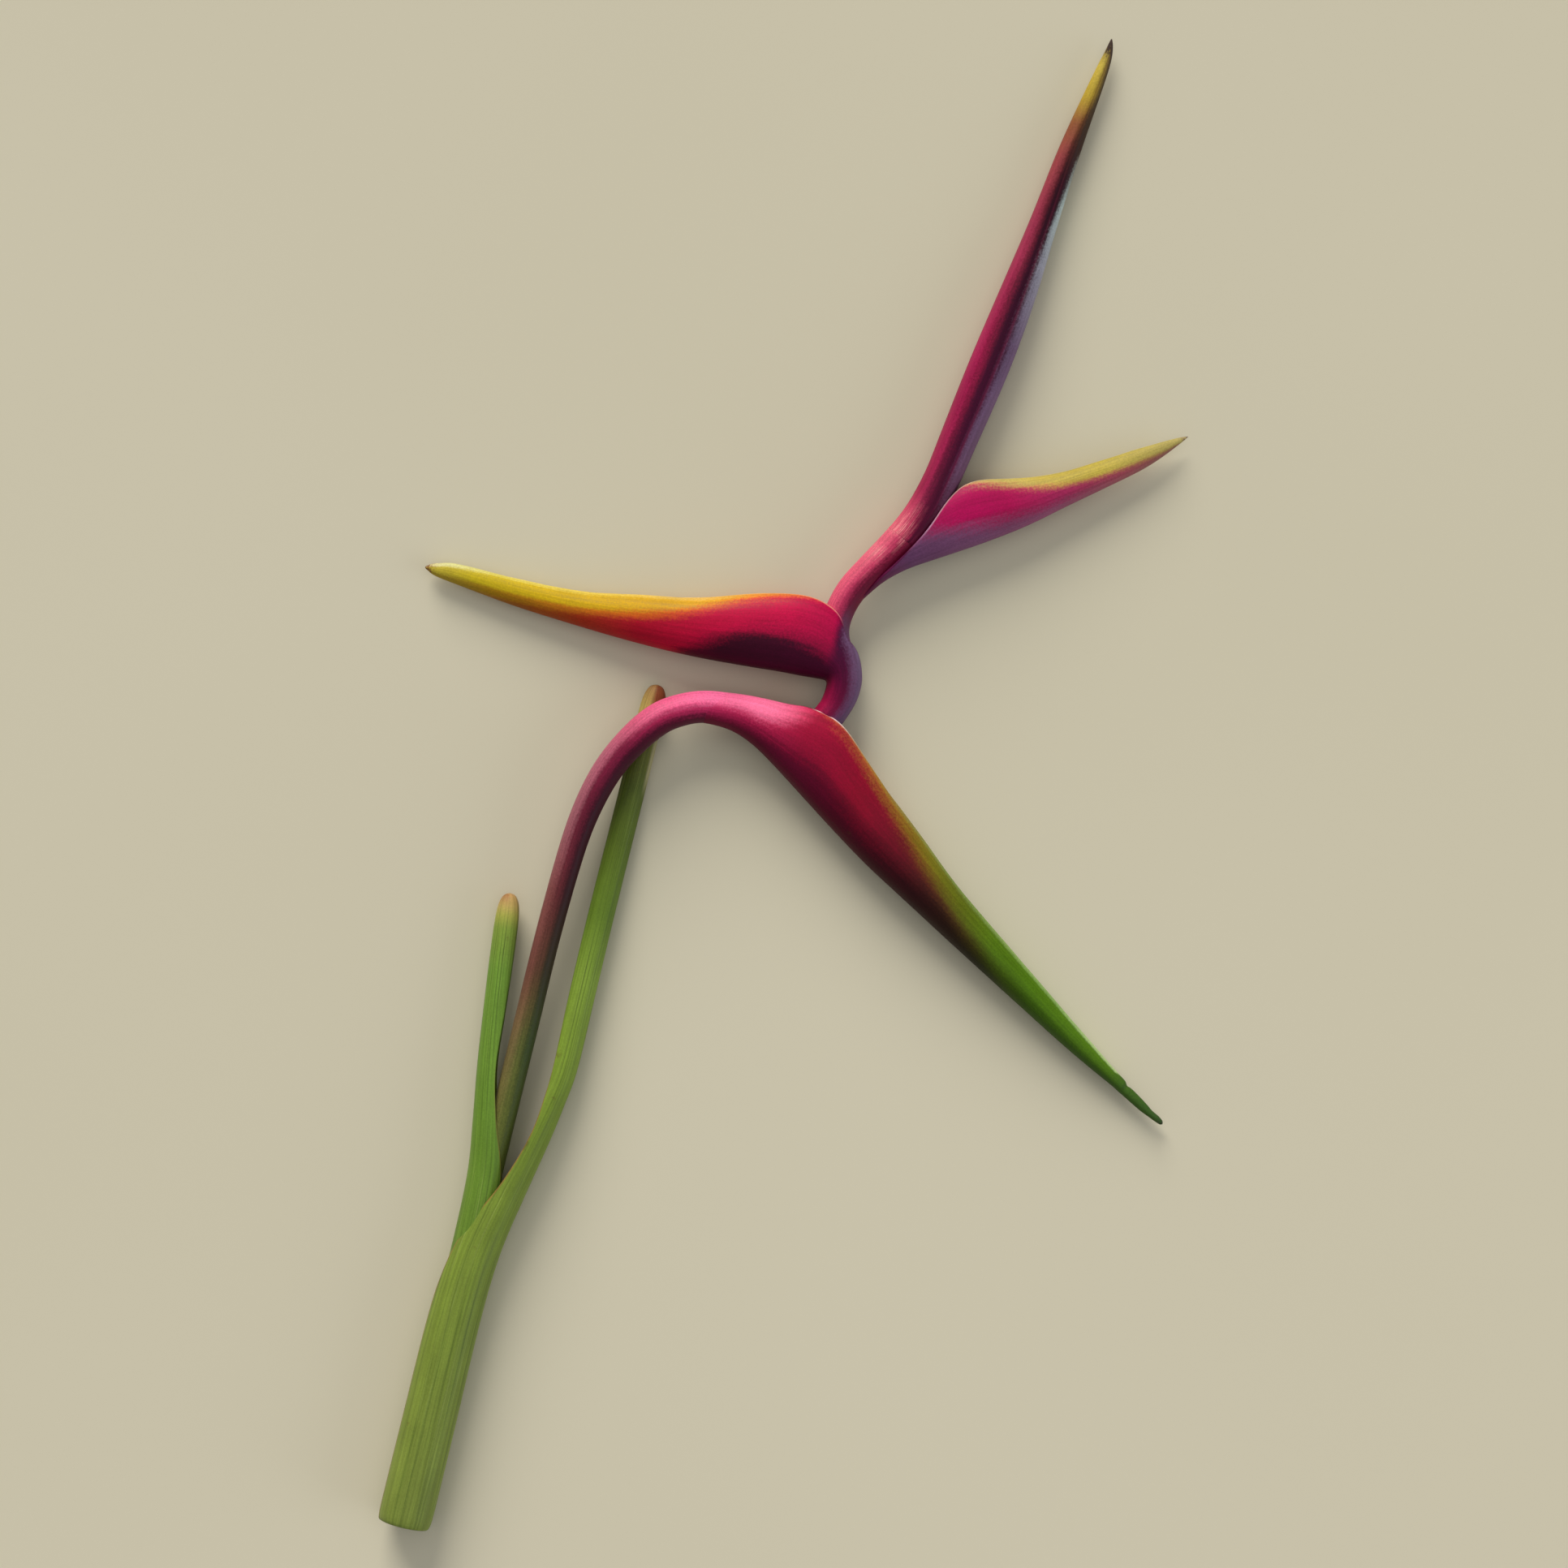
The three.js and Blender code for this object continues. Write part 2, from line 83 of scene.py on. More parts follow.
# Bracts: keel x, keel y, margin x, margin y, height, half width, squareness of the mouth,
# wall, half angle left open at the back, half angle left open at the front
LOWEST_BRACT = [
    (-52.5, -2.9, -52.7, 8.9, 13.4, 6.1, 1.0, 1.0, 5, 5),
    (-46.0, -4.0, -46.4, 9.3, 12.8, 6.6, 1.0, 1.0, 5, 5),
    (-38.4, -6.5, -33.9, 8.2, 12.1, 7.2, 1.0, 1.6, 5, 5),
    (-30.7, -11.6, -25.0, 6.4, 11.7, 8.3, 1.0, 2.0, 5, 5),
    (-23.1, -19.0, -15.6, 4.2, 11.2, 9.5, 0.9, 2.2, 5, 5),
    (-14.7, -28.1, -7.6, 3.6, 10.9, 10.5, 0.7, 2.2, 16, 12),
    (-7.1, -36.5, 5.2, -1.6, 10.8, 10.8, 0.55, 2.2, 24, 22),
    (3.8, -48.3, 14.9, -16.6, 10.8, 10.8, 0.6, 2.2, 17, 17),
    (14.7, -59.6, 23.5, -30.2, 10.6, 10.6, 0.7, 2.1, 9, 9),
    (26.0, -70.1, 33.2, -43.0, 10.1, 10.1, 0.8, 2.0, 6, 6),
    (48.7, -91.1, 51.4, -68.3, 8.9, 9.0, 0.85, 1.8, 5, 5),
    (72.1, -112.4, 75.6, -96.6, 7.6, 7.7, 0.9, 1.6, 5, 5),
    (95.3, -133.3, 98.2, -123.2, 5.9, 5.9, 0.9, 1.3, 5, 5),
    (111.4, -146.6, 115.2, -142.5, 5.1, 3.6, 0.9, 0.9, 5, 5),
    (114.3, -149.2, 117.8, -145.7, 5.1, 3.2, 0.9, 0.8, 5, 5),
    (115.6, -150.3, 118.4, -147.4, 5.0, 2.7, 0.9, 0.7, 5, 5),
    (117.4, -151.9, 120.3, -148.7, 5.0, 2.6, 0.9, 0.6, 5, 5),
    (123.2, -157.0, 125.9, -154.4, 5.0, 2.1, 0.9, 0.5, 5, 5),
    (126.6, -159.5, 128.4, -157.4, 5.0, 1.7, 0.9, 0.4, 5, 5),
    (129.8, -161.8, 131.3, -159.9, 5.0, 1.3, 0.9, 0.4, 5, 5),
    (132.1, -163.2, 133.0, -162.2, 5.0, 0.5, 1.0, 0.1, 5, 5),
]
LEFT_BRACT = [
    (-10.6, 0.1, -8.4, -10.1, 10.9, 5.2, 1.0, 1.0, 5, 5),
    (-6.7, 1.7, -0.9, -8.1, 10.8, 5.7, 1.0, 1.0, 5, 5),
    (-4.6, 4.1, 3.7, -5.2, 10.8, 6.2, 1.0, 1.0, 5, 5),
    (-3.2, 6.0, 8.8, 1.5, 10.8, 6.35, 1.0, 1.0, 5, 5),
    (-2.2, 8.4, 11.6, 7.0, 10.8, 6.9, 1.0, 1.6, 5, 5),
    (-1.4, 10.9, 13.1, 14.5, 10.8, 7.6, 1.0, 1.8, 5, 5),
    (-1.4, 13.4, 11.9, 23.9, 10.8, 8.4, 0.9, 2.0, 25, 12),
    (-4.2, 14.3, 9.0, 32.6, 10.7, 9.4, 0.7, 2.0, 62, 42),
    (-10.5, 15.3, 4.8, 41.6, 10.5, 10.3, 0.55, 2.1, 24, 26),
    (-20.4, 17.2, -7.4, 47.8, 10.5, 10.5, 0.6, 2.1, 15, 14),
    (-32.3, 19.1, -26.9, 48.4, 10.2, 10.3, 0.7, 2.0, 8, 8),
    (-55.9, 23.5, -51.4, 46.7, 9.0, 9.1, 0.85, 1.8, 5, 5),
    (-79.5, 29.4, -76.0, 47.9, 7.6, 7.7, 0.9, 1.6, 5, 5),
    (-102.9, 36.3, -100.4, 49.5, 6.3, 5.9, 0.9, 1.3, 5, 5),
    (-125.9, 43.6, -123.9, 54.3, 5.6, 4.6, 0.9, 1.0, 5, 5),
    (-148.9, 52.2, -147.5, 60.0, 5.2, 3.1, 0.9, 0.7, 5, 5),
    (-155.7, 54.9, -154.9, 60.3, 5.0, 2.4, 0.9, 0.5, 5, 5),
    (-158.2, 56.3, -157.8, 60.1, 5.0, 1.8, 0.9, 0.4, 5, 5),
    (-159.4, 57.4, -159.3, 59.5, 5.0, 1.0, 0.9, 0.3, 5, 5),
    (-160.6, 58.3, -160.7, 59.0, 5.0, 0.4, 1.0, 0.1, 5, 5),
]
RIGHT_BRACT = [
    (9.4, 42.2, 1.6, 47.9, 10.8, 4.4, 1.0, 0.6, 60, 150),
    (14.9, 47.1, 6.4, 53.4, 10.8, 5.8, 1.0, 0.9, 60, 144),
    (22.0, 53.0, 12.6, 60.4, 10.8, 7.2, 1.0, 1.6, 52, 132),
    (31.5, 58.0, 21.6, 69.4, 10.6, 7.7, 0.9, 1.8, 38, 112),
    (42.4, 61.7, 37.0, 82.0, 10.2, 8.2, 0.7, 1.8, 20, 78),
    (51.0, 64.6, 47.4, 89.6, 9.9, 8.3, 0.6, 1.8, 12, 40),
    (60.1, 67.7, 57.6, 93.2, 9.6, 8.2, 0.6, 1.8, 10, 12),
    (77.6, 74.5, 73.0, 93.8, 8.8, 7.4, 0.8, 1.6, 6, 6),
    (94.2, 82.7, 89.0, 95.8, 8.0, 6.1, 0.9, 1.3, 5, 5),
    (111.1, 90.8, 107.4, 100.8, 7.3, 4.6, 0.9, 1.0, 5, 5),
    (127.8, 99.3, 125.2, 106.6, 6.8, 2.8, 0.9, 0.6, 5, 5),
    (143.0, 110.5, 143.4, 111.2, 6.5, 0.35, 1.0, 0.1, 5, 5),
]
# The top bract, rolled shut: left x, left y, right x, right y, height, half depth
TOP_BRACT = [
    (23.4, 74.2, 34.6, 65.0, 11.7, 7.15),
    (25.2, 76.0, 36.8, 67.0, 11.8, 7.2), (31.2, 84.0, 44.5, 77.7, 11.5, 7.6),
    (38.0, 96.6, 51.6, 91.4, 10.7, 8.2), (43.9, 111.3, 58.0, 105.8, 9.6, 8.6),
    (55.5, 140.6, 70.8, 134.7, 8.6, 8.6), (67.7, 169.0, 81.5, 163.8, 7.8, 7.8),
    (80.1, 197.7, 90.5, 193.7, 6.3, 6.2), (91.8, 226.9, 100.0, 223.7, 5.8, 4.7),
    (105.1, 255.1, 110.2, 253.2, 5.5, 2.7), (109.6, 263.8, 112.7, 263.1, 5.4, 1.5),
    (112.1, 269.1, 112.6, 269.0, 5.4, 0.35),
]

BRACT_COLUMNS = 36
STALK_COLUMNS = 32
ROWS_PER_STATION = 3
ROUNDING = 2            # how often a finished skin is smoothed
GRAIN_LENGTH = 10       # length that one unit of the grain stands for
CUT_RIM = 0.25          # width of the crisp rim round a flat end

WALL_FULL = 3.9         # wall that a full wall weight stands for
WALL_LEAST = 0.03       # share of that which the thinnest wall keeps
MARGIN_THINNING = 0.5   # share of the wall that is gone at a free margin
EDGE_FALL = 0.7         # share of a free edge that is gone one column in from its margin

RUFFLE = 0.35           # how far the free margins wave
RUFFLE_FALL = 9         # how fast the wave dies away across the bract from each margin
RUFFLE_OFFSET = 2.1     # how far the waves of the two margins are out of step, in radians
RUFFLE_UP = 0.6         # share of the wave that goes up and down
RUFFLE_OUT = 0.5        # share of it that goes outward
RUFFLE_PACE = 0.16      # radians that the wave turns in a millimetre of length
RUFFLE_DRIFT = 0.9      # how far it runs ahead and falls behind, in radians
DRIFT_PACE = 0.047      # radians that this drift turns in a millimetre

ROLL_TILT = 66          # where the rolled margin of the top bract lies, in degrees
ROLL_STEP = 0.9         # thickness of that rolled margin
ROLL_STEP_SHARE = 0.16  # most of the bract's half width that the step may take
ROLL_SINK = 3.2         # how fast the step runs out round the bract
ROLL_FADE = 28          # length of the foot over which that margin comes out
ROLL_EDGE_FALL = 0.5    # share of its free edge that is gone one column in
LEAST_OPENING = 3       # half angle at which a sheath's margins meet, in degrees


# Growing the pieces
def in_frame(point):
    """A point of the flower's own frame, in metres in the part's frame."""
    return Vector(((point.x + ORIGIN_X) * MM, (point.y + ORIGIN_Y) * MM,
                   max(point.z, FLOOR_GAP) * MM))


def smooth_rows(stations, per_station=ROWS_PER_STATION):
    """The stations with rows between them, each number on a smooth curve through them."""
    rows = []
    last = len(stations) - 1
    for i in range(last):
        before = stations[max(i - 1, 0)]
        start, end = stations[i], stations[i + 1]
        after = stations[min(i + 2, last)]
        for step in range(per_station):
            t = step / per_station
            rows.append([
                0.5 * (2 * b + (c - a) * t + (2 * a - 5 * b + 4 * c - d) * t * t
                       + (3 * b - a - 3 * c + d) * t ** 3)
                for a, b, c, d in zip(before, start, end, after)])
    rows.append(list(stations[-1]))
    return rows


def lengths_along(centres):
    """Distance of each ring from the first, along the middle of the piece."""
    out = [0.0]
    for a, b in zip(centres, centres[1:]):
        out.append(out[-1] + (b - a).length)
    return out


class Skin:
    """A skin grown ring by ring, that keeps on each point how far along the piece it is,
    how far round from keel to margin, and a direction for the grain."""

    def __init__(self):
        self.mesh = bmesh.new()
        layers = self.mesh.verts.layers
        self.along = layers.float.new("along")
        self.rise = layers.float.new("rise")
        self.grain = layers.float_vector.new("grain")
        self.edge = layers.float.new("edge")
        self.wall = layers.deform.verify()
        self.rings = []

    def grow(self, rings, columns):
        """Each of rings is a function that gives a column's point, its angle and how near it is
        to a free margin, then the ring's share of the length, its length and its wall."""
        self.rings = []
        ring = bmesh.ops.create_circle(self.mesh, segments=columns, radius=1)["verts"]
        edges = self.edges_of(ring)
        for i, (place, share, length, wall) in enumerate(rings):
            if i:
                grown = bmesh.ops.extrude_edge_only(self.mesh, edges=edges)["geom"]
                fresh = {v for v in grown if isinstance(v, bmesh.types.BMVert)}
                ring = [next(e.other_vert(v) for e in v.link_edges if e.other_vert(v) in fresh)
                        for v in ring]
                edges = self.edges_of(ring)
            for column, vert in enumerate(ring):
                point, angle, edge = place(column)
                vert.co = in_frame(point)
                vert[self.along] = share
                vert[self.rise] = 0.5 - 0.5 * math.cos(angle)
                vert[self.grain] = Vector((math.cos(angle), math.sin(angle),
                                           length / GRAIN_LENGTH))
                vert[self.edge] = edge
                vert[self.wall][0] = min(wall * (1 - MARGIN_THINNING * edge) / WALL_FULL, 1.0)
            self.rings.append(ring)

    @staticmethod
    def edges_of(ring):
        """The edges between the neighbours of a ring, and from its last to its first."""
        return [next(e for e in a.link_edges if e.other_vert(a) is b)
                for a, b in zip(ring, ring[1:] + ring[:1])]

    def slit(self, first, last):
        """Opens the seam between the first and last column from one ring to another."""
        doomed = []
        for lower, upper in zip(self.rings[first:last], self.rings[first + 1:last + 1]):
            corners = {lower[0], lower[-1], upper[0], upper[-1]}
            doomed += [f for f in lower[0].link_faces if set(f.verts) == corners]
        bmesh.ops.delete(self.mesh, geom=doomed, context="FACES")

    def close(self, ring, material=0):
        """A flat end on a ring, with a rim that keeps it crisp."""
        face = bmesh.ops.contextual_create(self.mesh, geom=self.edges_of(ring))["faces"][0]
        rim = bmesh.ops.inset_region(self.mesh, faces=[face], thickness=CUT_RIM * MM)["faces"]
        for part in rim + [face]:
            part.material_index = material

    def to_point(self, ring):
        """Draws a ring together to its middle."""
        middle = sum((v.co for v in ring), Vector()) / len(ring)
        bmesh.ops.pointmerge(self.mesh, verts=ring, merge_co=middle)

    def face_outward(self):
        """Turns all faces over when one of them near the foot looks inward."""
        self.mesh.normal_update()
        lower, upper = self.rings[1], self.rings[2]
        middle = sum((v.co for v in lower), Vector()) / len(lower)
        column = len(lower) // 2
        face = next(f for f in lower[column].link_faces if upper[column] in f.verts)
        if face.normal.dot(face.calc_center_median() - middle) < 0:
            bmesh.ops.reverse_faces(self.mesh, faces=self.mesh.faces)

    def finish(self, name, materials, walled=False, levels=ROUNDING):
        """The skin as an object; a walled one gets its thickness inward."""
        mesh_data = bpy.data.meshes.new(name)
        self.face_outward()
        for part in self.mesh.faces:
            part.smooth = True
        self.mesh.to_mesh(mesh_data)
        self.mesh.free()
        piece = bpy.data.objects.new(name, mesh_data)
        bpy.context.scene.collection.objects.link(piece)
        piece.vertex_groups.new(name="wall")
        for material in materials:
            mesh_data.materials.append(material)
        if walled:
            wall = piece.modifiers.new("wall", "SOLIDIFY")
            wall.thickness = WALL_FULL * MM
            wall.offset = -1
            wall.vertex_group = "wall"
            wall.thickness_vertex_group = WALL_LEAST
            wall.use_rim = True
        rounding = piece.modifiers.new("rounding", "SUBSURF")
        rounding.levels = levels
        rounding.render_levels = levels
        return piece


def near_margin(share, fall):
    """How near a place across a skin is to its free margins: 1 on them, 0 away from them."""
    return max(0.0, 1 - min(share, 1 - share) * fall)


def middle_and_reach(row):
    """The middle of a bract at a station, and the way from there to its second side."""
    first = Vector((row[0], row[1], row[4]))
    second = Vector((row[2], row[3], row[4]))
    return (first + second) / 2, (second - first) / 2


def bract_place(row, ruffle_phase):
    """Where the columns of one ring of an opened bract lie."""
    centre, reach = middle_and_reach(row)
    half_width, square = row[5], row[6]
    back, front = math.pi - math.radians(row[8]), math.pi - math.radians(row[9])

    def place(column):
        share = column / (BRACT_COLUMNS - 1)
        angle = -back + (back + front) * share
        along = -math.cos(angle)
        # The mouth is as square as the station says, and the keel stays round
        power = square + (1 - square) * max(0.0, min(1.0, 0.5 - along))
        across = math.copysign(abs(math.sin(angle)) ** power, math.sin(angle))
        phase = ruffle_phase + (RUFFLE_OFFSET if share > 0.5 else 0.0)
        wave = RUFFLE * near_margin(share, RUFFLE_FALL) * math.sin(phase)
        point = centre + reach * along + Vector((0, 0, half_width * across + wave * RUFFLE_UP))
        point += reach.normalized() * wave * RUFFLE_OUT
        return point, angle, near_margin(share, BRACT_COLUMNS * EDGE_FALL)

    return place


def bract(name, stations, mouth, closed_tip, materials):
    """A boat-shaped bract: a sleeve at its foot, open along the top, shut to a point."""
    rows = smooth_rows(stations)
    lengths = lengths_along([middle_and_reach(row)[0] for row in rows])
    rings = []
    for row, length in zip(rows, lengths):
        phase = length * RUFFLE_PACE + RUFFLE_DRIFT * math.sin(length * DRIFT_PACE)
        rings.append((bract_place(row, phase), length / lengths[-1], length, row[7]))
    skin = Skin()
    skin.grow(rings, BRACT_COLUMNS)
    skin.slit(round(mouth * ROWS_PER_STATION), round(closed_tip * ROWS_PER_STATION))
    skin.to_point(skin.rings[-1])
    return skin.finish(name, materials, walled=True)


def rolled_place(row, opening):
    """Where the columns of one ring of the rolled bract lie, one margin over the other.
    The opening is the share of the step between them that shows."""
    centre, reach = middle_and_reach(row)
    depth = row[5]
    seam = math.radians(ROLL_TILT)

    def place(column):
        angle = seam + math.tau * column / (BRACT_COLUMNS - 1)
        turn = column / (BRACT_COLUMNS - 1)
        size = min(reach.length, depth)
        step = min(ROLL_STEP, size * ROLL_STEP_SHARE) * max(0.0, 1 - turn * ROLL_SINK) * opening
        shrink = 1 - step / size
        outward = reach * math.cos(angle) + Vector((0, 0, depth * math.sin(angle)))
        edge = max(0.0, 1 - turn * BRACT_COLUMNS * ROLL_EDGE_FALL)
        return centre + outward * shrink, math.pi - angle, edge

    return place


def rolled_bract(name, stations, materials):
    """The youngest bract, still rolled shut, with one margin wrapped over the other."""
    rows = smooth_rows(stations)
    lengths = lengths_along([middle_and_reach(row)[0] for row in rows])
    rings = []
    for row, length in zip(rows, lengths):
        place = rolled_place(row, min(length / ROLL_FADE, 1.0) ** 2)
        rings.append((place, length / lengths[-1], length, 1.0))
    skin = Skin()
    skin.grow(rings, BRACT_COLUMNS)
    skin.to_point(skin.rings[-1])
    skin.close(skin.rings[0])
    return skin.finish(name, materials)


def stem_place(rows, i, columns, flip=1, opening=0.0):
    """Where the columns of one ring of a round stem, or of a sheath with an opening, lie."""
    row = rows[i]
    before, after = rows[max(i - 1, 0)], rows[min(i + 1, len(rows) - 1)]
    heading = math.atan2(after[1] - before[1], after[0] - before[0])
    out = Vector((-math.sin(heading), math.cos(heading), 0)) * flip
    centre = Vector(row[:3])
    across, tall = row[3], row[4] if len(row) > 4 else row[3]
    end = math.pi - opening

    def place(column):
        if opening:
            angle = -end + 2 * end * column / (columns - 1)
        else:
            angle = math.tau * column / columns
        point = centre - out * across * math.cos(angle) + Vector((0, 0, tall * math.sin(angle)))
        edge = near_margin(column / (columns - 1), columns * EDGE_FALL) if opening else 0.0
        return point, angle, edge

    return place


def stalk(name, stations, materials):
    """The round stalk, cut flat at both ends."""
    rows = smooth_rows(stations)
    lengths = lengths_along([Vector(row[:3]) for row in rows])
    rings = [(stem_place(rows, i, STALK_COLUMNS), lengths[i] / lengths[-1], lengths[i], 1.0)
             for i in range(len(rows))]
    skin = Skin()
    skin.grow(rings, STALK_COLUMNS)
    skin.close(skin.rings[0], 1)
    skin.close(skin.rings[-1])
    return skin.finish(name, materials)


def sheath(name, stations, mouth, side, materials):
    """A leaf sheath rolled round the stalk, opening at its mouth into a channelled leaf stalk."""
    rows = smooth_rows(stations)
    lengths = lengths_along([Vector(row[:3]) for row in rows])
    rings = []
    for i, row in enumerate(rows):
        opening = math.radians(max(row[6], LEAST_OPENING))
        place = stem_place(rows, i, STALK_COLUMNS, side, opening)
        rings.append((place, lengths[i] / lengths[-1], lengths[i], row[5]))
    skin = Skin()
    skin.grow(rings, STALK_COLUMNS)
    skin.slit(round(mouth * ROWS_PER_STATION), len(rows) - 1 - ROWS_PER_STATION)
    skin.to_point(skin.rings[-1])
    return skin.finish(name, materials, walled=True)


FLOWER_COLUMNS = 12
FLOWER_ROWS = 14
FLOWER_RADIUS = 2.3
FLOWER_SLIM = 0.62      # thickness at foot and throat, as a share of the thickest place
FLOWER_THROAT = 0.8     # how far along the throat is
FLOWER_TAPER = 0.86     # share of the thickness that is gone at the tip
BUNCH = 0.35            # how close together the flowers spring, as a share of their spread
BUNCH_REACH = 0.9       # how much of the half wave of spreading and closing they go through
GRAIN_SHIFT = 40        # how far the grain of one flower may be shifted against the next


def flower_rows(stations, start, end, toward_margin, upward):
    """The axis and radius of one flower, which lies in a bract between two of its stations."""
    rows = []
    for step in range(FLOWER_ROWS + 1):
        t = step / FLOWER_ROWS
        at = start + (end - start) * t
        i = min(int(at), len(stations) - 2)
        a, b = stations[i], stations[i + 1]
        row = [p + (q - p) * (at - i) for p, q in zip(a, b)]
        centre, reach = middle_and_reach(row)
        opened = min(t * BUNCH_REACH + 1 - BUNCH_REACH, 1)
        spread = BUNCH + (1 - BUNCH) * math.sin(math.pi * opened)
        centre += reach * toward_margin * spread
        centre.z += row[5] * upward * spread
        swell = math.sin(math.pi * t / FLOWER_THROAT) if t < FLOWER_THROAT else 0.0
        swell = FLOWER_SLIM + (1 - FLOWER_SLIM) * swell
        rows.append([*centre, FLOWER_RADIUS * swell * (1 - FLOWER_TAPER * t ** 3)])
    return rows


def flowers(name, stations, start, ends, materials, seed):
    """The slim flowers that lie side by side in a bract, springing from one place.
    Each of ends is the station where a flower's tip lies, and the shares of the bract's
    half widths by which it keeps toward the margin and upward."""
    luck = random.Random(seed)
    skin = Skin()
    for end, toward_margin, upward in ends:
        rows = flower_rows(stations, start, end, toward_margin, upward)
        lengths = lengths_along([Vector(row[:3]) for row in rows])
        offset = luck.random()
        rings = [(stem_place(rows, i, FLOWER_COLUMNS), lengths[i] / lengths[-1],
                  lengths[i] + GRAIN_SHIFT * offset, 1.0) for i in range(len(rows))]
        skin.grow(rings, FLOWER_COLUMNS)
        skin.to_point(skin.rings[-1])
        skin.to_point(skin.rings[0])
    return skin.finish(name, materials, levels=1)


# Finishes
def shade(red, green, blue):
    """A colour as seen, as the renderer's own numbers."""
    def linear(value):
        value /= 255
        return value / 12.92 if value <= 0.04045 else ((value + 0.055) / 1.055) ** 2.4
    return (linear(red), linear(green), linear(blue), 1.0)


# Patterns by how many of them go into a metre
DOWN = 1400.0           # the finest down
GRIT = 1100.0           # grain that breaks up the edge between two colours
DAPPLE = 55.0           # slow drift of tone
BLEMISH = 140.0         # small brown marks on a bract
SCUFF = 90.0            # marks on a leaf sheath
FIBRE_PATCH = 90.0      # patches that the pale fibres stand in
CANAL = 900.0           # pores in the cut end
CUT_STAIN = 300.0       # brown stains on the cut end
SURFACE_DRIFT = 2.0     # slow drift of the surface's tone

# Streaks by how many go round a piece and how fast they change along it
BROAD_STREAK = (9.0, 0.22)
FINE_STREAK = (34.0, 0.5)
BRACT_WANDER = (3.2, 0.2)
STALK_WANDER = (4.0, 0.25)
FIBRE = (22.0, 0.9)
DARK_STRIPE = (7.0, 0.08)
PALE_STRIPE = (15.0, 0.12)

# How far from a half the values of a noise are taken as its ends
STREAK_SPREAD = 0.2
DAPPLE_SPREAD = 0.25
GRIT_SPREAD = 0.25
WANDER_SPREAD = 0.3

# Tone and relief of every skin. Heights are in millimetres.
FINE_DEPTH = 0.05       # how far the fine streaks change the tone
DAPPLE_DEPTH = 0.07     # how far the dapples do
RIB_HEIGHT = 0.5
FINE_RIB_HEIGHT = 0.16
FINE_RIB_SHARE = 0.8    # how strong the fine ribs are against the broad ones
DOWN_HEIGHT = 0.1
DOWN_STRENGTH = 0.22
ROUGH_SPAN = (0.7, 1.3)     # streaks and down together, from smoothest to roughest
ROUGH_BELOW = 0.07      # how far the roughness goes below and above its middle
ROUGH_ABOVE = 0.09
SHEEN_ROUGHNESS = 0.45
MARK_ROUGHNESS = 0.7    # roughness of the noise behind grit, blemishes and scuffs

# Edges between colours
LEVEL_LOW = -0.5        # a level starts here, below the keel, and can pass the margin
LEVEL_SPAN = 2.0
MOST_RAGGED = 0.3       # softness past which a bract's edges get no more ragged
WANDER_SHARE = 0.2      # how far such an edge wanders, as a share of its softness
GRIT_SHARE = 0.17       # how far the grain breaks it up
STALK_RAGGED = (0.06, 0.05)     # how far the stalk's edges wander and are broken up
TIP_RAGGED = (0.012, 0.01)      # and the edge of a withered tip
TIP_SOFTNESS = 0.02
FLANK_SOFTNESS = 0.03

# Where a pattern or a place starts to take a colour, and where it has all of it
LIP_SPAN = (0.35, 0.8)
SHEATH_LIP_SPAN = (0.3, 0.8)
FIBRE_SPAN = (0.46, 0.62)
FIBRE_PATCH_SPAN = (0.36, 0.56)
FLANK_SPAN = (0.62, 0.4)
PAPERY_SPAN = (0.16, 0.06)
CANAL_SPAN = (0.15, 0.45)


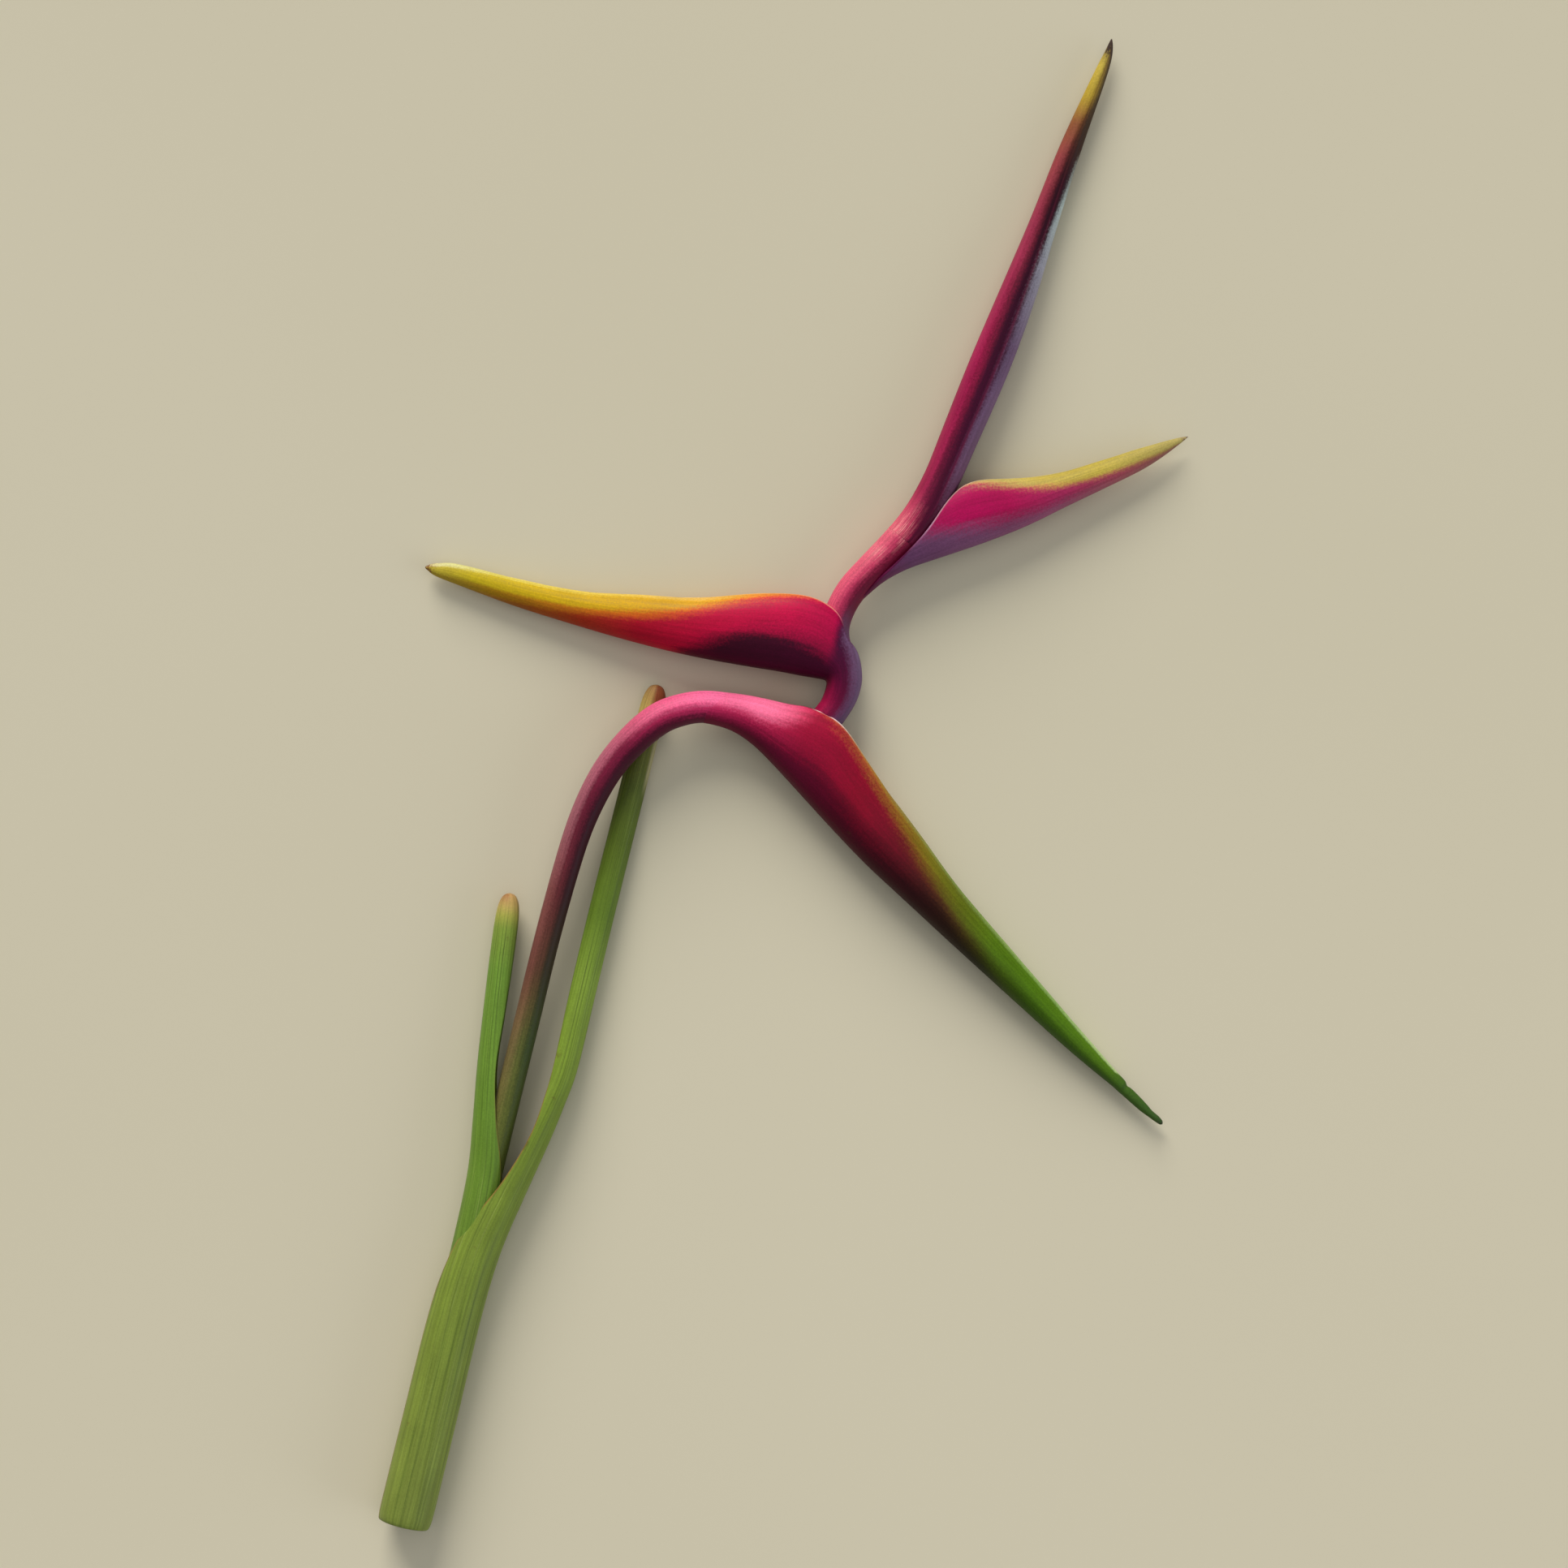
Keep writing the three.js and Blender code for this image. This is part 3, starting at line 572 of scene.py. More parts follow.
class Finish:
    """A plant skin's material, put together from plain steps."""

    def __init__(self, name, roughness=0.45, sheen=0.25, sheen_tint=(255, 210, 215), gloss=0.25):
        self.material = bpy.data.materials.new(name)
        self.material.use_nodes = True
        self.tree = self.material.node_tree
        self.tree.nodes.clear()
        self.shader = self.tree.nodes.new("ShaderNodeBsdfPrincipled")
        output = self.tree.nodes.new("ShaderNodeOutputMaterial")
        self.tree.links.new(self.shader.outputs[0], output.inputs[0])
        self.shader.inputs["Roughness"].default_value = roughness
        self.shader.inputs["Sheen Weight"].default_value = sheen
        self.shader.inputs["Sheen Roughness"].default_value = SHEEN_ROUGHNESS
        self.shader.inputs["Sheen Tint"].default_value = shade(*sheen_tint)
        self.shader.inputs["Specular IOR Level"].default_value = gloss

    def put(self, socket, value):
        """Links a socket to a pattern, or gives it a plain value."""
        if isinstance(value, bpy.types.NodeSocket):
            self.tree.links.new(value, socket)
        else:
            socket.default_value = value

    def attribute(self, name, vector=False):
        """What a skin keeps on its points under a name."""
        node = self.tree.nodes.new("ShaderNodeAttribute")
        node.attribute_name = name
        return node.outputs["Vector" if vector else "Fac"]

    def place(self):
        """Where a point lies on the finished piece."""
        return self.tree.nodes.new("ShaderNodeTexCoord").outputs["Object"]

    def stretch(self, vector, scale):
        """A place scaled by its own factor each way."""
        node = self.tree.nodes.new("ShaderNodeMapping")
        self.put(node.inputs["Vector"], vector)
        node.inputs["Scale"].default_value = scale
        return node.outputs[0]

    def noise(self, vector, scale=1.0, detail=3.0, roughness=0.55):
        """Soft random values that keep near a half."""
        node = self.tree.nodes.new("ShaderNodeTexNoise")
        self.put(node.inputs["Vector"], vector)
        node.inputs["Scale"].default_value = scale
        node.inputs["Detail"].default_value = detail
        node.inputs["Roughness"].default_value = roughness
        return node.outputs["Fac"]

    def cells(self, vector, scale):
        """Distance from the middles of cells."""
        node = self.tree.nodes.new("ShaderNodeTexVoronoi")
        self.put(node.inputs["Vector"], vector)
        node.inputs["Scale"].default_value = scale
        return node.outputs["Distance"]

    def combine(self, operation, a, b, c=0.0):
        """The numbers a, b and c after one sum, such as a product or a difference."""
        node = self.tree.nodes.new("ShaderNodeMath")
        node.operation = operation
        for socket, value in zip(node.inputs, (a, b, c)):
            self.put(socket, value)
        return node.outputs[0]

    def span(self, value, low, high, to_low=0.0, to_high=1.0):
        """A value stretched smoothly from one span to another, and kept inside it."""
        node = self.tree.nodes.new("ShaderNodeMapRange")
        node.interpolation_type = "SMOOTHSTEP"
        self.put(node.inputs["Value"], value)
        node.inputs["From Min"].default_value = low
        node.inputs["From Max"].default_value = high
        node.inputs["To Min"].default_value = to_low
        node.inputs["To Max"].default_value = to_high
        return node.outputs[0]

    def ramp(self, value, stops):
        """Colours, or plain greys, at their places along a value."""
        node = self.tree.nodes.new("ShaderNodeValToRGB")
        self.put(node.inputs["Fac"], value)
        elements = node.color_ramp.elements
        while len(elements) < len(stops):
            elements.new(0.5)
        for element, (position, colour) in zip(elements, sorted(stops, key=lambda stop: stop[0])):
            element.position = position
            grey = isinstance(colour, (int, float))
            element.color = (colour, colour, colour, 1) if grey else shade(*colour)
        return node.outputs["Color"]

    def level(self, value, stops):
        """Plain numbers from -0.5 to 1.5 at their places along a value."""
        coded = self.ramp(value, [(place, (height - LEVEL_LOW) / LEVEL_SPAN)
                                  for place, height in stops])
        return self.combine("MULTIPLY_ADD", coded, LEVEL_SPAN, LEVEL_LOW)

    def blend(self, share, first, second, way="MIX"):
        """The first colour going over into the second as the share goes from 0 to 1."""
        node = self.tree.nodes.new("ShaderNodeMix")
        node.data_type = "RGBA"
        node.blend_type = way
        self.put(node.inputs[0], share)
        for socket, value in ((node.inputs[6], first), (node.inputs[7], second)):
            if isinstance(value, tuple) and len(value) == 3:
                value = shade(*value)
            self.put(socket, value)
        return node.outputs[2]

    def relief(self, height, strength, distance, under=None):
        """Fine relief in millimetres, over the relief that is there already."""
        node = self.tree.nodes.new("ShaderNodeBump")
        node.inputs["Strength"].default_value = strength
        node.inputs["Distance"].default_value = distance * MM
        self.put(node.inputs["Height"], height)
        if under is not None:
            self.put(node.inputs["Normal"], under)
        return node.outputs[0]

    def streaks(self, around, lengthwise, detail=4.0):
        """A noise drawn out along the piece."""
        grain = self.attribute("grain", vector=True)
        return self.noise(self.stretch(grain, (around, around, lengthwise)), detail=detail)

    def swing(self, noise, spread, depth=1.0, middle=0.0):
        """A noise, which keeps near a half, stretched to swing by a depth round a middle."""
        return self.span(noise, 0.5 - spread, 0.5 + spread, middle - depth, middle + depth)

    def grit(self):
        """Fine grain between -1 and 1."""
        grain = self.noise(self.place(), GRIT, roughness=MARK_ROUGHNESS)
        return self.swing(grain, GRIT_SPREAD)

    def ragged(self, value, wander, grit, depths):
        """A value made uneven by a slow wander and by fine grain, each by its own depth."""
        value = self.combine("MULTIPLY_ADD", wander, depths[0], value)
        return self.combine("MULTIPLY_ADD", grit, depths[1], value)

    def stain(self, colour, stain_colour, noise, start, full, strength):
        """A colour stained where a noise is high, from where it starts to where it is full."""
        return self.blend(self.span(noise, start, full, 0.0, strength), colour, stain_colour)

    def lay_over(self, colour, along, rise, height, softness, colours):
        """Colours laid over a colour where a skin rises above a height."""
        above = self.combine("SUBTRACT", rise, self.level(along, height))
        share = self.span(above, -softness / 2, softness / 2)
        return self.blend(share, colour, self.ramp(along, colours))

    def skin(self, colour, streak_depth=0.14, speckle_depth=0.13, ribs=0.22):
        """Lengthwise streaks, fine down and relief over a colour, then on to the shader."""
        streak = self.streaks(*BROAD_STREAK)
        fine = self.streaks(*FINE_STREAK, detail=2.0)
        down = self.noise(self.place(), DOWN, detail=2.0)
        dapple = self.noise(self.place(), DAPPLE)
        tone = self.swing(streak, STREAK_SPREAD, streak_depth, middle=1)
        for pattern, spread, depth in ((fine, STREAK_SPREAD, FINE_DEPTH),
                                       (down, STREAK_SPREAD, speckle_depth),
                                       (dapple, DAPPLE_SPREAD, DAPPLE_DEPTH)):
            tone = self.combine("MULTIPLY", tone, self.swing(pattern, spread, depth, middle=1))
        grey = self.tree.nodes.new("ShaderNodeCombineColor")
        for socket in grey.inputs[:3]:
            self.put(socket, tone)
        colour = self.blend(1.0, colour, grey.outputs[0], "MULTIPLY")
        self.put(self.shader.inputs["Base Color"], colour)
        base = self.shader.inputs["Roughness"].default_value
        rough = self.span(self.combine("ADD", streak, down), *ROUGH_SPAN,
                          base - ROUGH_BELOW, base + ROUGH_ABOVE)
        self.put(self.shader.inputs["Roughness"], rough)
        normal = self.relief(streak, ribs, RIB_HEIGHT)
        normal = self.relief(fine, ribs * FINE_RIB_SHARE, FINE_RIB_HEIGHT, normal)
        normal = self.relief(down, DOWN_STRENGTH, DOWN_HEIGHT, normal)
        self.put(self.shader.inputs["Normal"], normal)
        return self.material


# Colours below are as seen, from 0 to 255. Each stop is a place along the piece, from its foot
# at 0 to its tip at 1, with a colour or with the height between keel (0) and margin (1).
LIP_SHARE = [(0.0, 1.0), (0.2, 0.9), (0.45, 0.6), (0.75, 0.35), (1.0, 0.2)]
FIBRE_COLOUR = (232, 150, 148)


def bract_finish(name, keel, layers, lip, tip, tip_from, mottle=(78, 40, 26), fibres=None):
    """Colours laid over each other from the keel up. Each of layers is the height it starts at,
    how soft its edge is, and its colours. The lip lies along the free margins only."""
    finish = Finish(name, roughness=0.48, sheen=0.0, gloss=0.13)
    along, rise = finish.attribute("along"), finish.attribute("rise")
    wander = finish.swing(finish.streaks(*BRACT_WANDER), WANDER_SPREAD)
    grit = finish.grit()
    colour = finish.ramp(along, keel)
    for height, softness, colours in layers:
        depth = min(softness, MOST_RAGGED)
        uneven = finish.ragged(rise, wander, grit, (depth * WANDER_SHARE, depth * GRIT_SHARE))
        colour = finish.lay_over(colour, along, uneven, height, softness, colours)
    edge = finish.span(finish.attribute("edge"), *LIP_SPAN)
    colour = finish.blend(finish.combine("MULTIPLY", edge, finish.level(along, LIP_SHARE)),
                          colour, finish.ramp(along, lip))
    blemish = finish.noise(finish.place(), BLEMISH, detail=4.0, roughness=MARK_ROUGHNESS)
    colour = finish.stain(colour, mottle, blemish, start=0.66, full=0.78, strength=0.4)
    if fibres:
        share = fibre_share(finish, along, fibres, rise,
                            [(0.0, 0.1), (0.15, 1.0), (0.42, 1.0), (0.6, 0.0)])
        colour = finish.blend(share, colour, FIBRE_COLOUR)
    withered = finish.ragged(along, wander, grit, TIP_RAGGED)
    colour = finish.blend(finish.span(withered, tip_from, tip_from + TIP_SOFTNESS), colour, tip)
    return finish.skin(colour, streak_depth=0.1, speckle_depth=0.1, ribs=0.16)


def fibre_share(finish, along, places, rise, across):
    """Fine pale fibres where one part of the flower runs into the next."""
    fibre = finish.span(finish.streaks(*FIBRE, detail=2.0), *FIBRE_SPAN)
    patch = finish.span(finish.noise(finish.place(), FIBRE_PATCH), *FIBRE_PATCH_SPAN)
    share = finish.combine("MULTIPLY", fibre, patch)
    share = finish.combine("MULTIPLY", share, finish.level(rise, across))
    return finish.combine("MULTIPLY", share, finish.level(along, places))


def left_bract_finish():
    """Crimson over a maroon keel that is painted shade, turning to yellow from the margin down toward
    the tip, with dark purple painted shade on the collar near the foot and a lilac band of painted cool
    light along its upper edge.
    """
    return bract_finish(
        "crimson_turning_yellow",
        # The maroon of the keel is painted shade on the side away from the light.
        keel=[(0.068, (152, 14, 62)), (0.117, (124, 8, 54)), (0.165, (68, 2, 36)),
              (0.408, (58, 1, 26)), (0.495, (84, 2, 30)), (0.563, (118, 8, 28)),
              (0.651, (132, 34, 16)), (0.777, (132, 74, 12)), (0.922, (128, 102, 14)),
              (1.0, (160, 136, 44))],
        layers=[
            ([(0.068, 0.5), (0.165, 0.36), (0.204, 0.4), (0.252, 0.44), (0.33, 0.5), (0.379, 0.46),
              (0.437, 0.3), (0.485, 0.08), (0.544, -0.3)], 0.34,
             [(0.068, (120, 4, 56)), (0.175, (122, 2, 54)), (0.204, (164, 0, 60)),
              (0.291, (186, 0, 62)), (0.437, (180, 0, 52)), (0.573, (170, 8, 36)),
              (0.68, (158, 44, 16)), (0.816, (150, 86, 12)), (1.0, (170, 140, 44))]),
            # Painted shade: dark purple over the collar near the foot.
            ([(0.068, 0.32), (0.155, 0.3), (0.175, 0.36), (0.187, 0.5), (0.202, 0.78), (0.212, 1.0),
              (0.236, 1.5)], 0.46,
             [(0.068, (110, 4, 52)), (0.126, (88, 4, 50)), (0.185, (68, 4, 46)), (0.252, (84, 6, 52))]),
            # Painted cool light: a lilac band along the upper edge of the collar.
            ([(0.068, 0.72), (0.136, 0.75), (0.185, 0.86), (0.204, 1.1), (0.236, 1.5)], 0.46,
             [(0.068, (102, 70, 104)), (0.185, (122, 94, 126)), (0.252, (122, 94, 126))]),
            ([(0.165, 1.3), (0.252, 1.02), (0.301, 0.95), (0.379, 0.87), (0.466, 0.73), (0.573, 0.5),
              (0.689, 0.34), (0.806, 0.2), (0.913, 0.0), (1.0, -0.2)], 0.22,
             [(0.252, (222, 92, 46)), (0.485, (208, 84, 20)), (0.67, (184, 98, 14)),
              (0.864, (164, 122, 12)), (1.0, (172, 150, 44))]),
            ([(0.165, 1.4), (0.272, 1.02), (0.379, 0.93), (0.466, 0.82), (0.573, 0.66), (0.689, 0.53),
              (0.806, 0.42), (0.913, 0.34), (1.0, 0.2)], 0.16,
             [(0.252, (218, 138, 62)), (0.437, (206, 150, 30)), (0.583, (196, 150, 10)),
              (0.767, (192, 158, 8)), (0.903, (184, 162, 20)), (1.0, (182, 164, 56))]),
            ([(0.165, 1.5), (0.35, 1.05), (0.456, 0.97), (0.854, 0.9), (0.961, 0.8), (1.0, 0.7)], 0.16,
             [(0.35, (232, 186, 116)), (0.631, (220, 190, 80)), (0.854, (206, 190, 84)),
              (0.951, (208, 204, 136)), (1.0, (204, 190, 138))]),
        ],
        lip=[(0.068, (96, 56, 88)), (0.194, (92, 44, 76)), (0.214, (206, 108, 118)),
             (0.228, (236, 150, 130)), (0.272, (236, 156, 106)), (0.398, (238, 180, 96)),
             (1.0, (226, 206, 120))],
        tip=(120, 72, 40), tip_from=0.98)


def right_bract_finish():
    """Magenta over a keel whose lilac is painted cool light, with a muted yellow margin that widens
    toward the tip; the lilac on the lip near the foot is a painted highlight.
    """
    return bract_finish(
        "magenta_turning_yellow",
        # The lilac of the keel is painted cool light on the underside.
        keel=[(0.0, (100, 6, 44)), (0.08, (96, 24, 62)), (0.2, (106, 62, 98)),
              (0.42, (128, 78, 112)), (0.6, (150, 80, 110)), (0.8, (162, 90, 96)),
              (1.0, (146, 114, 90))],
        layers=[
            ([(0.0, 0.7), (0.14, 0.74), (0.24, 0.56), (0.34, 0.36), (0.42, 0.26), (0.6, 0.2),
              (0.8, 0.16), (1.0, 0.1)], 0.36,
             [(0.0, (110, 4, 46)), (0.2, (120, 4, 62)), (0.3, (156, 0, 72)), (0.36, (172, 0, 78)),
              (0.5, (166, 6, 74)), (0.64, (162, 38, 84)), (0.8, (166, 70, 84)),
              (1.0, (156, 100, 80))]),
            ([(0.2, 1.3), (0.35, 1.0), (0.42, 0.94), (0.53, 0.79), (0.64, 0.59), (0.76, 0.42),
              (0.88, 0.3), (1.0, 0.1)], 0.28,
             [(0.3, (206, 110, 92)), (0.5, (190, 122, 74)), (0.7, (182, 138, 66)),
              (1.0, (168, 144, 76))]),
            ([(0.2, 1.35), (0.35, 1.03), (0.42, 0.96), (0.53, 0.83), (0.64, 0.66),
              (0.76, 0.5), (0.88, 0.42), (1.0, 0.2)], 0.2,
             [(0.3, (214, 192, 146)), (0.45, (192, 172, 98)), (0.6, (180, 158, 70)),
              (0.75, (180, 160, 64)), (1.0, (174, 158, 90))]),
        ],
        # The lilac at the start of the lip is a painted highlight; further on, the lip has the margin's
        # own pale colour.
        lip=[(0.0, (96, 10, 50)), (0.2, (84, 14, 58)), (0.25, (140, 80, 116)),
             (0.29, (190, 146, 172)), (0.35, (212, 178, 176)), (0.4, (228, 206, 180)),
             (0.5, (222, 210, 150)), (1.0, (206, 196, 124))],
        tip=(124, 96, 84), tip_from=0.975)


def lowest_bract_finish():
    """Dark crimson at the foot and green at the tip, the green reaching up along the margin; the dark
    keel is painted shade, and the pink over the top of the foot is a painted highlight.
    """
    return bract_finish(
        "crimson_turning_green",
        # The keel, dark maroon going to dark green, is painted shade on the underside.
        keel=[(0.03, (110, 8, 44)), (0.14, (96, 4, 40)), (0.26, (84, 0, 30)), (0.36, (64, 2, 20)),
              (0.45, (50, 10, 14)), (0.54, (40, 22, 8)), (0.63, (24, 36, 4)), (0.8, (24, 50, 4)),
              (0.92, (30, 54, 10)), (1.0, (40, 58, 28))],
        layers=[
            ([(0.03, 0.32), (0.17, 0.4), (0.32, 0.34), (0.46, 0.4), (0.63, 0.44), (1.0, 0.34)],
             0.44,
             [(0.03, (186, 34, 84)), (0.11, (182, 22, 72)), (0.18, (150, 0, 46)),
              (0.3, (134, 0, 34)), (0.36, (120, 4, 32)), (0.41, (100, 10, 26)),
              (0.46, (82, 24, 20)), (0.53, (68, 40, 14)), (0.6, (62, 58, 10)),
              (0.69, (66, 100, 6)), (0.86, (70, 112, 12)),
              (0.92, (60, 96, 24)), (1.0, (52, 80, 34))]),
            # Painted highlight: pink over the top of the foot, where the light falls.
            ([(0.03, 0.66), (0.1, 0.58), (0.14, 0.7), (0.18, 0.92), (0.22, 1.3)], 0.4,
             [(0.03, (238, 104, 146)), (0.12, (236, 108, 144)), (0.17, (214, 66, 104)),
              (0.21, (190, 30, 70))]),
            ([(0.14, 1.3), (0.22, 1.0), (0.29, 0.95), (0.36, 0.87), (0.42, 0.75), (0.48, 0.56),
              (0.54, 0.36), (0.61, 0.14), (0.69, -0.2)], 0.5,
             [(0.22, (188, 56, 36)), (0.36, (140, 48, 22)), (0.51, (84, 50, 16)),
              (0.61, (58, 64, 8)), (0.71, (56, 86, 6)), (1.0, (60, 90, 30))]),
            ([(0.14, 1.35), (0.22, 1.04), (0.29, 0.98), (0.36, 0.92), (0.42, 0.83),
              (0.48, 0.7), (0.54, 0.54), (0.63, 0.38), (0.76, 0.34), (1.0, 0.3)], 0.46,
             [(0.22, (196, 138, 66)), (0.34, (158, 130, 34)), (0.43, (124, 112, 20)),
              (0.54, (90, 98, 12)), (0.62, (76, 106, 8)), (0.7, (72, 108, 6)),
              (0.88, (74, 110, 14)), (0.91, (60, 92, 24)), (1.0, (50, 76, 32))]),
            ([(0.14, 1.5), (0.32, 1.04), (0.46, 0.98), (0.71, 0.92), (0.89, 0.86),
              (0.915, 1.2), (1.0, 1.4)], 0.14,
             [(0.22, (190, 170, 130)), (0.51, (124, 146, 64)), (0.76, (134, 168, 90)),
              (0.9, (176, 198, 132))]),
        ],
        # The pink at the start of the lip goes on with that painted highlight.
        lip=[(0.03, (236, 110, 148)), (0.13, (226, 96, 132)), (0.155, (150, 30, 66)),
             (0.18, (104, 12, 40)), (0.19, (238, 200, 202)), (0.222, (230, 206, 204)),
             (0.25, (196, 178, 150)), (0.3, (176, 164, 110)), (0.51, (140, 158, 84)),
             (0.9, (176, 196, 136)), (0.915, (90, 84, 50)), (1.0, (84, 74, 50))],
        tip=(64, 66, 46), tip_from=0.988, mottle=(70, 44, 24))


def top_bract_finish():
    """Crimson on one side, with a pale pink painted highlight at the foot, and lilac on the other side
    that is painted cool rim light, with a dark band of painted shade between, olive at the tip.
    """
    return bract_finish(
        "dark_red_with_painted_shade_and_cool_light",
        # The keel side is the lit side; its pale pink at the foot is a painted highlight.
        keel=[(0.0, (212, 86, 108)), (0.05, (190, 62, 94)), (0.1, (150, 30, 70)),
              (0.35, (160, 28, 78)), (0.63, (156, 50, 78)), (0.76, (146, 62, 64)),
              (0.83, (140, 84, 50)), (0.885, (178, 150, 48)), (0.945, (190, 166, 66)),
              (1.0, (84, 66, 48))],
        layers=[
            ([(0.0, 0.34), (0.05, 0.32), (0.24, 0.2), (0.68, 0.24), (0.84, 0.5), (1.0, 0.6)],
             0.34,
             [(0.0, (180, 52, 84)), (0.03, (150, 28, 66)), (0.08, (108, 4, 48)),
              (0.35, (138, 4, 54)), (0.63, (122, 18, 46)), (0.78, (96, 34, 32)),
              (0.84, (110, 66, 32)), (0.89, (150, 122, 40)), (1.0, (70, 54, 42))]),
            # Painted shade: the dark band down the middle, between the lit side and the rim.
            ([(0.0, 0.6), (0.06, 0.48), (0.13, 0.36), (0.46, 0.33), (0.7, 0.42), (0.84, 0.66),
              (0.9, 0.82), (0.96, 0.86), (1.0, 0.5)], 0.4,
             [(0.0, (98, 6, 44)), (0.04, (76, 4, 38)), (0.24, (62, 0, 36)), (0.5, (50, 0, 28)),
              (0.73, (46, 8, 20)), (0.87, (66, 48, 26)), (1.0, (50, 40, 36))]),
            # Painted cool rim light: the lilac to pale blue band on the far side.
            ([(0.0, 1.2), (0.04, 0.96), (0.13, 0.74), (0.24, 0.73), (0.35, 0.75), (0.63, 0.81),
              (0.76, 1.0), (0.83, 1.4)], 0.32,
             [(0.03, (104, 56, 80)), (0.19, (114, 80, 110)), (0.4, (118, 90, 122)),
              (0.57, (160, 160, 170)), (0.68, (190, 206, 200)), (0.78, (150, 150, 136))]),
        ],
        # The lip is kept dark as part of the painted shade along the rolled margin.
        lip=[(0.0, (80, 2, 38)), (0.1, (74, 4, 40)), (0.16, (90, 18, 54)), (0.68, (80, 14, 40)),
             (1.0, (90, 70, 40))],
        tip=(62, 46, 38), tip_from=0.962, mottle=(60, 34, 24),
        fibres=[(0.0, 0.9), (0.03, 0.55), (0.08, 0.0), (1.0, 0.0)])


def stalk_finish():
    """Red and pink on the arch and the zigzag, fading to green lower down; the dark side is painted
    shade, the pink side is painted light, and the lilac on the dark side near the top is painted cool
    light.
    """
    finish = Finish("stalk_red_over_green", roughness=0.48, sheen=0.08, gloss=0.16)
    along, rise = finish.attribute("along"), finish.attribute("rise")
    wander = finish.swing(finish.streaks(*STALK_WANDER), WANDER_SPREAD)
    uneven = finish.ragged(rise, wander, finish.grit(), STALK_RAGGED)
    # Tiers by the side a point faces: the dark tier is painted shade on the side away from the main
    # light, the light tier is painted light on the side toward it, and the middle tier lies between.
    dark = [
        (0.0, (104, 120, 50)), (0.28, (86, 96, 36)), (0.38, (58, 72, 28)), (0.44, (52, 44, 22)),
        (0.5, (50, 14, 18)), (0.55, (54, 1, 20)), (0.62, (66, 0, 28)), (0.7, (92, 4, 40)),
        # The lilac here, near the upper end, is painted cool light.
        (0.74, (116, 8, 48)), (0.785, (108, 6, 48)), (0.81, (106, 64, 96)), (0.86, (96, 58, 88)),
        (0.885, (104, 6, 44)), (0.94, (116, 4, 44)), (1.0, (90, 4, 40))]
    middle = [
        (0.0, (116, 132, 56)), (0.28, (96, 104, 40)), (0.38, (86, 90, 40)), (0.44, (86, 56, 38)),
        (0.5, (90, 34, 38)), (0.56, (102, 22, 44)), (0.62, (122, 18, 54)), (0.66, (162, 28, 72)),
        (0.7, (188, 38, 88)), (0.76, (176, 26, 74)), (0.8, (120, 4, 50)), (0.84, (78, 8, 52)),
        (0.88, (168, 40, 78)), (0.93, (196, 58, 94)), (1.0, (150, 30, 70))]
    light = [
        (0.0, (124, 140, 62)), (0.28, (106, 112, 46)), (0.38, (112, 96, 58)), (0.44, (114, 68, 56)),
        (0.5, (122, 66, 64)), (0.56, (150, 86, 96)), (0.61, (168, 88, 106)),
        (0.64, (196, 82, 112)), (0.67, (228, 90, 132)), (0.7, (240, 106, 150)),
        (0.76, (228, 84, 124)), (0.795, (196, 34, 84)), (0.83, (150, 6, 60)),
        (0.87, (214, 76, 108)), (0.93, (218, 92, 116)), (1.0, (200, 80, 100))]
    middle_from = [(0.0, 0.32), (0.56, 0.36), (0.62, 0.36), (0.68, 0.28), (0.78, 0.32),
                   (0.86, 0.34), (0.9, 0.42), (1.0, 0.44)]
    painted_light_from = [(0.0, 0.62), (0.56, 0.68), (0.62, 0.72), (0.65, 0.62), (0.68, 0.56),
                  (0.74, 0.58), (0.8, 0.68), (1.0, 0.68)]
    colour = finish.ramp(along, dark)
    colour = finish.lay_over(colour, along, uneven, middle_from, softness=0.28, colours=middle)
    colour = finish.lay_over(colour, along, uneven, painted_light_from, softness=0.32, colours=light)
    fibres = [(0.0, 0.0), (0.905, 0.0), (0.935, 0.7), (0.955, 1.0), (1.0, 1.0)]
    share = fibre_share(finish, along, fibres, rise,
                        [(0.34, 0.0), (0.52, 1.0), (0.9, 1.0), (1.0, 0.5)])
    colour = finish.blend(share, colour, FIBRE_COLOUR)
    return finish.skin(colour)


DARK_STRIPE_COLOUR = (56, 78, 22)
PALE_STRIPE_COLOUR = (158, 172, 88)
SHEATH_LIP_COLOUR = (142, 96, 52)
SHEATH_LIP_DEPTH = 0.7      # how strongly that colour lies on the margins
SHEATH_LIP_FADE = (0.5, 0.8)    # where it fades out along the leaf stalk
SCUFF_COLOUR = (92, 74, 34)
PAPERY_COLOUR = (186, 176, 128)


